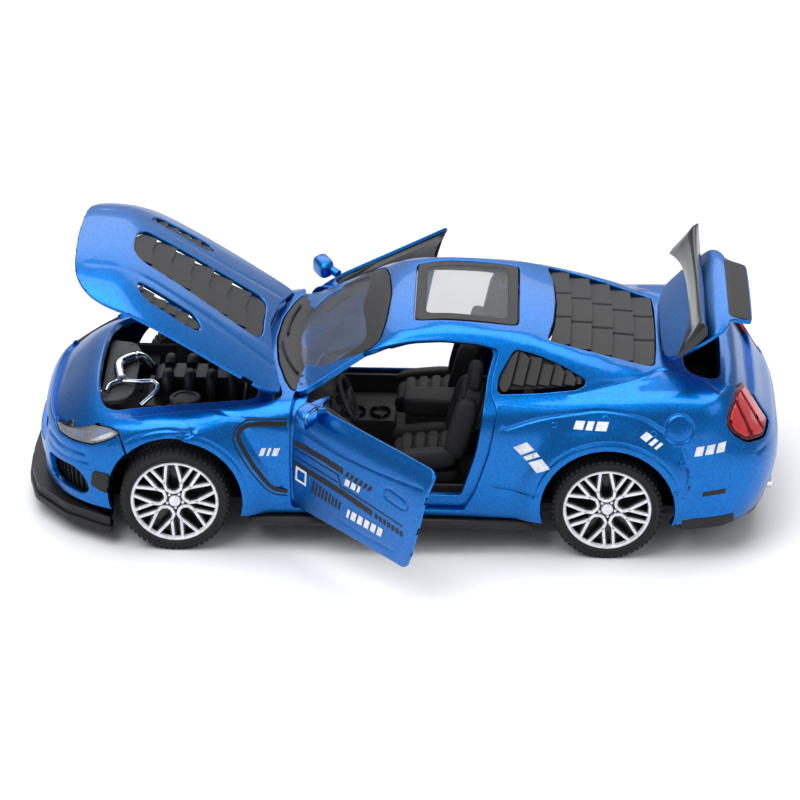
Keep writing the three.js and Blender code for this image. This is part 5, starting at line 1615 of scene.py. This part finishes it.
# %% Door cards and mirrors
CARD = softened([(-17.9, 12.6), (-18.1, 30.4), (-16.6, 31.3), (14.8, 31.3), (15.4, 30.2), (14.2, 21.6),
                 (11.6, 12.6)], 0.8)
ARMREST = softened([(-11, 19.6), (-12.4, 21.8), (-6, 22.4), (8, 22.4), (11, 24), (12, 22),
                    (9, 19.4)], 0.7)
WINDOW_SEAL = softened([(-17.0, 30.8), (-17.0, 31.5), (16.2, 31.6), (16.8, 30.8)], 0.2)
SPEAKER = (-11.6, 16.2)
MIRROR_LEAN = 0.35
MIRROR_Y = 30.3
for side, name in SIDES.items():
    chart = SIDE[side]
    inset_line = lift(chart, CARD[::2] * 0.94 + [0, 1.2])
    card = skin(chart, [CARD], step=1.3, depth=1.1, wall=0.9, rim=0.0, inner=True,
                grooves=[(inset_line, 0.0, 0.3)])
    arm = skin(chart, [ARMREST], step=1.0, depth=1.9, wall=1.6, rim=0.0, inner=True)
    speaker = skin(chart, [ring_line(SPEAKER, 2.5)[:-1], ring_line(SPEAKER, 1.9)[:-1]], step=0.6,
                   depth=1.9, wall=0.45, rim=0, inner=True)
    piece("door_card_moulding_" + name, moved_by(merged(card, arm, speaker), OPEN_DOOR[side]),
          "door_" + name, GREY, nodes=["door_card_" + name])
    rubber = skin(chart, [WINDOW_SEAL], step=1.2, depth=0.45, wall=1.1, rim=0.15, inner=True)
    run = path(grown(DOOR, -0.9), (-19.4, 31.3), (12.6, 10.2), (17.4, 29.0))
    beads = bar(lift(chart, run, 0.62), 0.4, 8)
    rubber = merged((rubber[0], rubber[1], None), beads)
    piece("door_seal_" + name, moved_by(rubber, OPEN_DOOR[side]), "door_" + name, MATT)
    housing, housing_faces, _ = pad((-14.9, MIRROR_Y, 32.2), (4.2, 5.6, 3.8), 3.4)
    housing[:, 0] = np.minimum(housing[:, 0], -13.5)
    housing[:, 0] += MIRROR_LEAN * (housing[:, 1] - MIRROR_Y)
    foot = bar(rounded_path([(-14.8, 26.0, 31.7), (-14.9, 27.3, 32.0), (-15, 28.6, 32.2)]), 0.95, 10)
    mirror = on_side(merged((housing, housing_faces, None), foot), side)
    piece("mirror_housing_" + name, moved_by(mirror, OPEN_DOOR[side]), "door_" + name,
          PAINT, nodes=["door_mirror_" + name], sharp=50)
    glass = pad((-13.45, 30.4, 32.7), (0.3, 4.4, 2.2), 4, across=12, around=8)
    glass[0][:, 0] += MIRROR_LEAN * (glass[0][:, 1] - MIRROR_Y)
    piece("mirror_glass_" + name, moved_by(on_side(glass, side), OPEN_DOOR[side]), "door_" + name,
          PLATING, sharp=60)
tell("doors")

# %% [markdown]
# ## Engine bay and boot
# The bay is a black tray. A radiator cover with a slot spans its front, a bright elbow and two thin
# pipes loop beside it, and the manifold shows four ribs with bright ends. The boot is a plain black
# tub with a ribbed floor.

# %% Engine bay
TOWER_Y = 15.2
tray = [block(-60.8, -25.2, -19.4, 19.4, 14.1, 15.0)]
for side in (1, -1):
    tray.append(block(-60.8, -25.2, side * 19 - 0.5, side * 19 + 0.5, 14.8, 20.8))
    tray.append(block(-56, -50.5, side * 16.4 - 2.2, side * 16.4 + 2.2, 14.8, 18.4))
    tray.append(turned([(3.2, 14.6), (3.1, 22.4), (2.9, 23.6), (2.3, 24.1), (1.2, 24.2), (0.9, 23.8),
                        (0, 23.8)], (AXLE_F, side * TOWER_Y, 0), UPWARD, 36))
    for k in range(3):
        a = 120 * k + 30
        nut_at = (AXLE_F + 1.9 * math.cos(a * RAD), side * TOWER_Y + 1.9 * math.sin(a * RAD), 0)
        tray.append(turned([(0.35, 23.9), (0.35, 24.35), (0, 24.4)], nut_at, UPWARD, 8))
    for k in range(9):
        tray.append(block(-58 + 3.6 * k, -57.2 + 3.6 * k, side * 13.6 - 5, side * 13.6 + 5, 14.9, 15.3))
tray += [block(-60.8, -60, -19.4, 19.4, 14.8, 20.8), block(-26, -25.2, -19.4, 19.4, 14.8, 20.8),
         block(-30.5, -26.4, 8.6, 16.4, 14.8, 20.2), block(-30.5, -26.4, -16.4, -8.6, 14.8, 20.2)]
piece("engine_bay_floor", merged(*tray), "car_body", MATT,
      nodes=["engine_bay_tray"], bevel=0.25, sharp=40)
PLENUM = softened([(-50.2, 19.4), (-50.2, 23.4), (-48.8, 24.5), (-33.4, 24.5), (-32.2, 23.4),
                   (-32.2, 19.4)], 0.5)
motor = [block(-51.8, -31.6, -6.8, 6.8, 15.5, 19.8), prism(PLENUM, -3.2, 3.2, "y")]
tips = []
for k in range(4):
    x = -47.2 + 4.4 * k
    for side in (1, -1):
        arc = [(x, side * y, z) for y, z in ((1.6, 24.6), (3.6, 25.1), (5.2, 24.2), (5.9, 21.4),
                                             (6.1, 19.6))]
        motor.append(bar(rounded_path(arc, 5), 1.15, 12))
        tips.append(pad((x, side * 4.6, 25.05), (1.9, 1.5, 1.2), 3, across=10, around=8))
for side in (1, -1):
    for k in range(7):
        motor.append(block(-50.6 + 2.7 * k, -49.4 + 2.7 * k, side * 6.5 - 0.5, side * 6.5 + 0.5,
                           15.8, 19.4))
motor.append(turned([(1.5, 0), (1.5, 1.1), (1.2, 1.4), (0, 1.4)], (-33.6, 0, 24.4), UPWARD, 24))
piece("engine_block", merged(*motor), "car_body", BLACK, nodes=["engine"],
      bevel=0.2, sharp=40)
piece("engine_bright_ends", merged(*tips), "car_body", PLATING, sharp=60)
COVER = [(-60.1, -13.8), (-60.1, 13.8), (-55.2, 12.8), (-53.5, 9), (-53.5, -9), (-55.2, -12.8)]
cover_parts = [prism(softened(COVER, 0.8), 23.1, 24.1), block(-59.2, -57.8, -12.8, 12.8, 15.5, 23.2)]
cover_parts += [block(-58.6, -57.5, -10 + 4.1 * k, -7 + 4.1 * k, 24.0, 24.19) for k in range(5)]
for y in (-12, 0, 12):
    cover_parts.append(turned([(0.6, 24.0), (0.6, 24.18), (0, 24.19)], (-56, y, 0), UPWARD, 12))
piece("radiator_cover_panel", merged(*cover_parts), "car_body", GREY,
      nodes=["radiator_cover"], bevel=0.2)
elbow = bar(rounded_path([(-51.4, 6.0, 22.2), (-53.4, 5.8, 24.3), (-55.4, 4.2, 24.9),
                          (-57.4, 1.2, 25.0), (-57.0, -3.0, 25.0), (-56.3, -6.1, 24.8)], 8), 1.0, 20)
rings = []
for centre, axis in (((-56.4, -5.6, 24.85), (0.2, -1, 0)), ((-54.4, 5.0, 24.7), (-1, -0.7, 0.3))):
    rings.append(hoop_ring([(1.0, -0.3), (1.22, -0.3), (1.22, 0.3), (1.0, 0.3)], centre, axis, 24))
pipes = []
for way in ([(-56.4, -6.0, 24.75), (-58.4, -7.6, 24.75), (-59.0, -10.4, 24.6)],
            [(-56.0, -5.9, 24.7), (-52.8, -6.2, 24.8), (-49.9, -6.2, 24.8), (-49.0, -8.8, 24.4),
             (-52.0, -11.8, 22.4)]):
    pipes.append(bar(rounded_path(way, 7), 0.5, 12))
CAP_X, CAP_Y = -43.2, -10.6
cap_lid = turned([(3.2, 0), (3.2, 0.7), (2.9, 0.9), (2.3, 0.9), (2.2, 0.7), (0, 0.7)],
                 (CAP_X, CAP_Y, 23.0), UPWARD, 32)
cap_stem = turned([(2.2, 0), (2.2, 7.6)], (CAP_X, CAP_Y, 15.4), UPWARD, 24)
piece("reservoir_cap", merged(cap_lid, cap_stem), "car_body", BLACK, sharp=50)
piece("intake_elbow", merged(elbow, *rings, *pipes), "car_body", PLATING,
      nodes=["intake_pipe"], sharp=50)
tell("engine bay")

# %% Boot tub and hinge arms
trunk_out, trunk_in = grown(TRUNK, 0.1), grown(TRUNK, -0.8)
walls = []
n = len(trunk_out)
for k in range(n):
    a, b = k, (k + 1) % n
    walls.append(prism([trunk_out[a], trunk_out[b], trunk_in[b], trunk_in[a]], 20, 31.5))
floor_ribs = [block(56.6 + 1.5 * k, 57.2 + 1.5 * k, -13, 13, 20.9, 21.3) for k in range(4)]
piece("boot_tub", merged(prism(trunk_out, 19.95, 21), *walls, *floor_ribs), "car_body",
      MATT, nodes=["trunk_tub"], sharp=30)
HOOD_ARM = [(-28.6, 30.6), (-28.6, 28.8), (-27.2, 27.8), (-25.2, 28.4), (-24.7, 29.6), (-24.8, 30.6)]
arms = [prism(softened(HOOD_ARM, 0.3) - [0, 0.2], y - 0.6, y + 0.6, "y") for y in (18.6, -18.6)]
piece("bonnet_hinge_arms", moved_by(merged(*arms), OPEN_HOOD), "bonnet", PAINT, bevel=0.15)
LID_ARM = [(54.4, 34.7), (54.4, 33.6), (51.6, 32.5), (50.5, 32.7), (50.3, 33.6), (51.4, 34), (53, 34.8)]
arm = prism(softened(LID_ARM, 0.25), -2.9, 2.9, "y")
piece("boot_lid_hinge_arm", moved_by(arm, OPEN_LID), "boot_lid", PAINT, bevel=0.15)
tell("boot")

# %% [markdown]
# ## Printed marks, bolts and small parts
# The real car carries printed stripes behind the front wheels and along the doors. They are thin
# films on the paint, so each is a sheet a twentieth of a millimetre above the panel, and twice
# that where white lies on the doors. All are drawn in the same flat coordinates as the panels.
# Where the real print has words, plain slanted bars stand here instead. Rubber strips close the
# door edges, and small black parts sit at the corners of the bumpers.

# %% Printed marks
FILM = -0.05


def stripe(points, width, step=0.8):
    """The outline of a band of constant width along a flat line."""
    p = spaced(np.asarray(points, float), step, ring=False)
    way = np.gradient(p, axis=0)
    way /= np.linalg.norm(way, axis=1)[:, None]
    left = np.stack([-way[:, 1], way[:, 0]], axis=1) * width / 2
    return np.concatenate([p + left, (p - left)[::-1]])


def slanted(x, z, wide, tall, lean=0.35):
    """A leaning bar with its lower left corner at (x, z)."""
    over = tall * lean
    return np.array([(x, z), (x + wide, z), (x + wide + over, z + tall), (x + over, z + tall)])


def tilted(outline, centre, degrees):
    """Turns a flat outline about a point."""
    c, t = math.cos(degrees * RAD), math.sin(degrees * RAD)
    q = np.asarray(outline, float) - centre
    return q @ np.array([(c, t), (-t, c)]) + centre


def marks(x, z, tall, widths, gap=0.55):
    """A row of leaning bars of different widths."""
    rows = []
    for wide in widths:
        rows.append(slanted(x, z, wide, tall))
        x += wide + gap
    return rows


def films(side, outlines, depth=FILM):
    """Printed films on one side of the body."""
    return merged(*[skin(SIDE[side], [outline], step=1.4, depth=depth, wall=0, rim=0)
                    for outline in outlines])


VENT_LINE = [(-21.8, 28.5), (-29.6, 28.3), (-31.3, 27.3), (-32.2, 25.9), (-32.3, 24.4),
             (-31.6, 22.6), (-29.2, 18.3), (-26.2, 13.9), (-25.0, 12.7), (-23.8, 12.2),
             (-21.8, 12.0)]
VENT_BAND = [(-21.8, 27.6), (-29.3, 27.4), (-30.9, 26.4), (-31.4, 25.2), (-31.0, 23.9),
             (-28.3, 18.8), (-25.5, 14.6), (-24.3, 13.5), (-21.8, 12.9)]
fender_black = [stripe(VENT_LINE, 0.28), stripe(VENT_BAND, 0.85)]
fender_black.append(tilted(slanted(59.4, 14.2, 4.6, 1.0, 0.2), (61.5, 14.8), 8))
body_white = marks(-27.4, 20.9, 1.7, (0.9, 0.5, 1.1))
body_white += marks(33.9, 28.2, 1.5, (1.8, 1.3, 2.2))
for row, about, degrees in ((marks(22.0, 20.4, 2.7, (2.2, 1.0, 2.4)), (26.4, 21.8), -46),
                            (marks(46.9, 25.6, 1.5, (1.5, 0.8, 0.6)), (49.3, 26.4), -36),
                            (marks(57.4, 23.2, 1.9, (1.6, 1.6, 1.6)), (60.6, 24.2), 8)):
    body_white += [tilted(mark, about, degrees) for mark in row]
STRIPE_1 = [(-20.1, 23.9), (-12, 23.7), (-5.8, 23.3)]
STRIPE_2 = [(-20.1, 19.4), (-6, 18.7), (3.1, 17.9)]
door_black = [stripe(STRIPE_1, 1.25), stripe(STRIPE_2, 1.25)]
for k in range(6):
    door_black.append(slanted(-5.3 + 1.35 * k, 22.55 - 0.06 * k, 0.85, 1.15, 0.6))
for k in range(7):
    door_black.append(slanted(3.9 + 1.25 * k, 17.2 - 0.1 * k, 0.85, 1.15, 0.0))
for line in ([(-20.1, 22.6), (-7.2, 22.0)], [(-20.1, 20.9), (-7.2, 20.4)], [(-6.2, 19.9), (12.2, 18.9)],
             [(-7.1, 22.1), (-6.4, 19.8)]):
    door_black.append(stripe(line, 0.28))
for k in range(9):
    door_black.append(slanted(-15.2 + 1.0 * k, 14.9 - 0.05 * k, 0.55, 2.9 - 0.12 * k, 0.25))
door_white = marks(-5.2, 20.7, 1.5, (1.3, 1.3, 0.7))
door_white += marks(-4.6, 13.9, 2.0, (0.7, 1.4, 1.4, 1.4, 1.4, 1.4))
FRAME_AT, FRAME_TURN = (-18, 17.4), -4
frame_out = tilted([(-19.6, 15.8), (-19.6, 19.0), (-16.4, 19.0), (-16.4, 15.8)], FRAME_AT, FRAME_TURN)
frame_in = tilted([(-19.1, 16.3), (-19.1, 18.5), (-16.9, 18.5), (-16.9, 16.3)], FRAME_AT, FRAME_TURN)
for side, name in SIDES.items():
    piece("fender_stripes_" + name, films(side, fender_black), "car_body", BLACK)
    piece("body_marks_" + name, films(side, body_white), "car_body", WHITE)
    piece("door_stripes_" + name, moved_by(films(side, door_black), OPEN_DOOR[side]), "door_" + name,
          BLACK)
    framed = skin(SIDE[side], [frame_out, frame_in], step=1.0, depth=2 * FILM, wall=0, rim=0)
    white_parts = merged(films(side, door_white, 2 * FILM), framed)
    piece("door_marks_" + name, moved_by(white_parts, OPEN_DOOR[side]), "door_" + name, WHITE)

print("printed outlines", len(fender_black) + len(body_white) + len(door_black) + len(door_white))

# %% Bolts, pads, blades, lips, cowl and wipers
BOLT = [(0.62, -0.3), (0.62, 0.05), (0.5, 0.14), (0.3, 0.14), (0.24, 0.0), (0, 0.0)]
heads = []
for flat in BOLTS:
    at = lift(SIDE[1], [flat])
    heads.append(turned(BOLT, at[0], outward(at)[0], 20))
piece("flare_bolts", both(merged(*heads)), "car_body", PAINT, sharp=50)
rests = [pad((-64.5, y, 23.2), (3.4, 5.6, 1.3), 5, across=14, around=12) for y in (-11, 11)]
piece("bonnet_rest_pads", merged(*rests), "car_body", MATT, sharp=50)
LOWER_LIP = stripe(along((55.4, 7.7), (60, 7.9), (66, 8.4)), 2.4)
CANARD = softened([(-61.0, 12.4), (-60.4, 15.8), (-56.9, 15.6), (-57.4, 11.2)], 0.4)
for side, name in SIDES.items():
    canard = skin(SIDE[side], [CANARD], step=0.9, depth=-0.35, wall=0.6, rim=0.25)
    piece("bumper_corner_blade_" + name, canard, "car_body", BLACK)
    lip_shape = skin(TAIL, [read(TAIL, lift(SIDE[side], LOWER_LIP))], step=1.2, depth=-0.12,
                     wall=0.6, rim=0.3)
    piece("rear_lower_lip_" + name, lip_shape, "car_body", BLACK)
COWL = closed([(-27.6, 0), (-26.9, 6), (-25.8, 12), (-24.2, 17.4), (-23.0, 17.0), (-24.5, 12),
               (-25.2, 6), (-25.5, 0)])
cowl = skin(OVER, [COWL], step=1.2, depth=0.15, wall=0.5, rim=0.2)
piece("windscreen_cowl", cowl, "car_body", MATT)
wiper_parts = []
for y0, y1 in ((-15.5, -2.0), (1.5, 15.0)):
    y = np.array([y0 + (y1 - y0) * k / 8 for k in range(9)])
    flat = stack(-23.3 + 0.012 * y ** 2 - 0.9 * (y - y0) / (y1 - y0), y)
    wiper_parts.append(bar(lift(OVER, flat, -0.25), 0.28, 8))
piece("wiper_arms", merged(*wiper_parts), "car_body", MATT)
tell("small parts")

# %% [markdown]
# ## Parts the frame already shows well
# The pan, the screws, the axles, the gear and the motor case are plain turned and flat parts. They
# stay as they are and only get their finishes.

# %% Finishes of the carried parts
CARRIED = {"chassis_pan": MATT, "pullback_motor_case": GREY, "drive_gear": BRASS, "front_axle": STEEL,
           "rear_axle": STEEL, "chassis_screw_1": STEEL, "chassis_screw_2": STEEL, "chassis_screw_3": STEEL,
           "chassis_screw_4": STEEL}
for name, finish in CARRIED.items():
    for part in [frame["nodes"][name], *frame["nodes"][name].children_recursive]:
        if part.type == "MESH":
            for slot in part.material_slots:
                slot.material = finish
            if not part.material_slots:
                part.data.materials.append(finish)
print("carried parts", len(CARRIED))

# %% [markdown]
# ## Floor, light and camera
# The model stands on a plain pale floor under four large soft lamps, as on a studio table. The
# camera looks down on its left side from a little above.

# %% Floor, light and camera
floor_mesh = bpy.data.meshes.new("floor")
floor_mesh.from_pydata([(-3, -3, 0), (3, -3, 0), (3, 3, 0), (-3, 3, 0)], [], [(0, 1, 2, 3)])
floor = bpy.data.objects.new("floor", floor_mesh)
bpy.context.scene.collection.objects.link(floor)
floor.data.materials.append(material("pale_floor", (0.82, 0.82, 0.83), 0.55, scale=3))


LIGHT_TARGET = Vector((0, 0, 0.02))


def area_light(name, place, size, power):
    """A rectangular lamp that looks at the car."""
    data = bpy.data.lights.new(name, "AREA")
    data.shape = "RECTANGLE"
    data.size, data.size_y = size
    data.energy = power
    light = bpy.data.objects.new(name, data)
    light.location = place
    light.rotation_euler = (LIGHT_TARGET - Vector(place)).to_track_quat("-Z", "Y").to_euler()
    bpy.context.scene.collection.objects.link(light)


# Place in metres, size in metres, power in watts.
area_light("key", (-0.4, -0.35, 0.8), (0.7, 0.5), 4.4)
area_light("fill", (0.7, -0.45, 0.6), (0.7, 0.6), 2.0)
area_light("top", (0.0, 0.15, 0.85), (0.9, 0.7), 6.8)
area_light("back", (0.0, 0.8, 0.5), (0.9, 0.4), 2.2)
world = bpy.data.worlds.new("studio")
world.use_nodes = True
background = world.node_tree.nodes["Background"]
background.inputs["Color"].default_value = (0.93, 0.95, 1.0, 1)
background.inputs["Strength"].default_value = 0.42
bpy.context.scene.world = world
bpy.context.scene.view_settings.view_transform = "Standard"

CAMERA_AT = Vector((0.01938, -0.71638, 0.38850))
LOOK_AT = Vector((-0.00084, 0.00757, 0.01470))
ROLL = 0.365
camera_data = bpy.data.cameras.new("camera")
camera_data.lens = 179.5
camera_data.sensor_width = 36
camera = bpy.data.objects.new("camera", camera_data)
aim = (LOOK_AT - CAMERA_AT).to_track_quat("-Z", "Y").to_matrix().to_4x4()
camera.matrix_world = Matrix.Translation(CAMERA_AT) @ aim @ Matrix.Rotation(ROLL * RAD, 4, "Z")
bpy.context.scene.collection.objects.link(camera)
bpy.context.scene.camera = camera

print("camera", [round(v, 3) for v in CAMERA_AT])
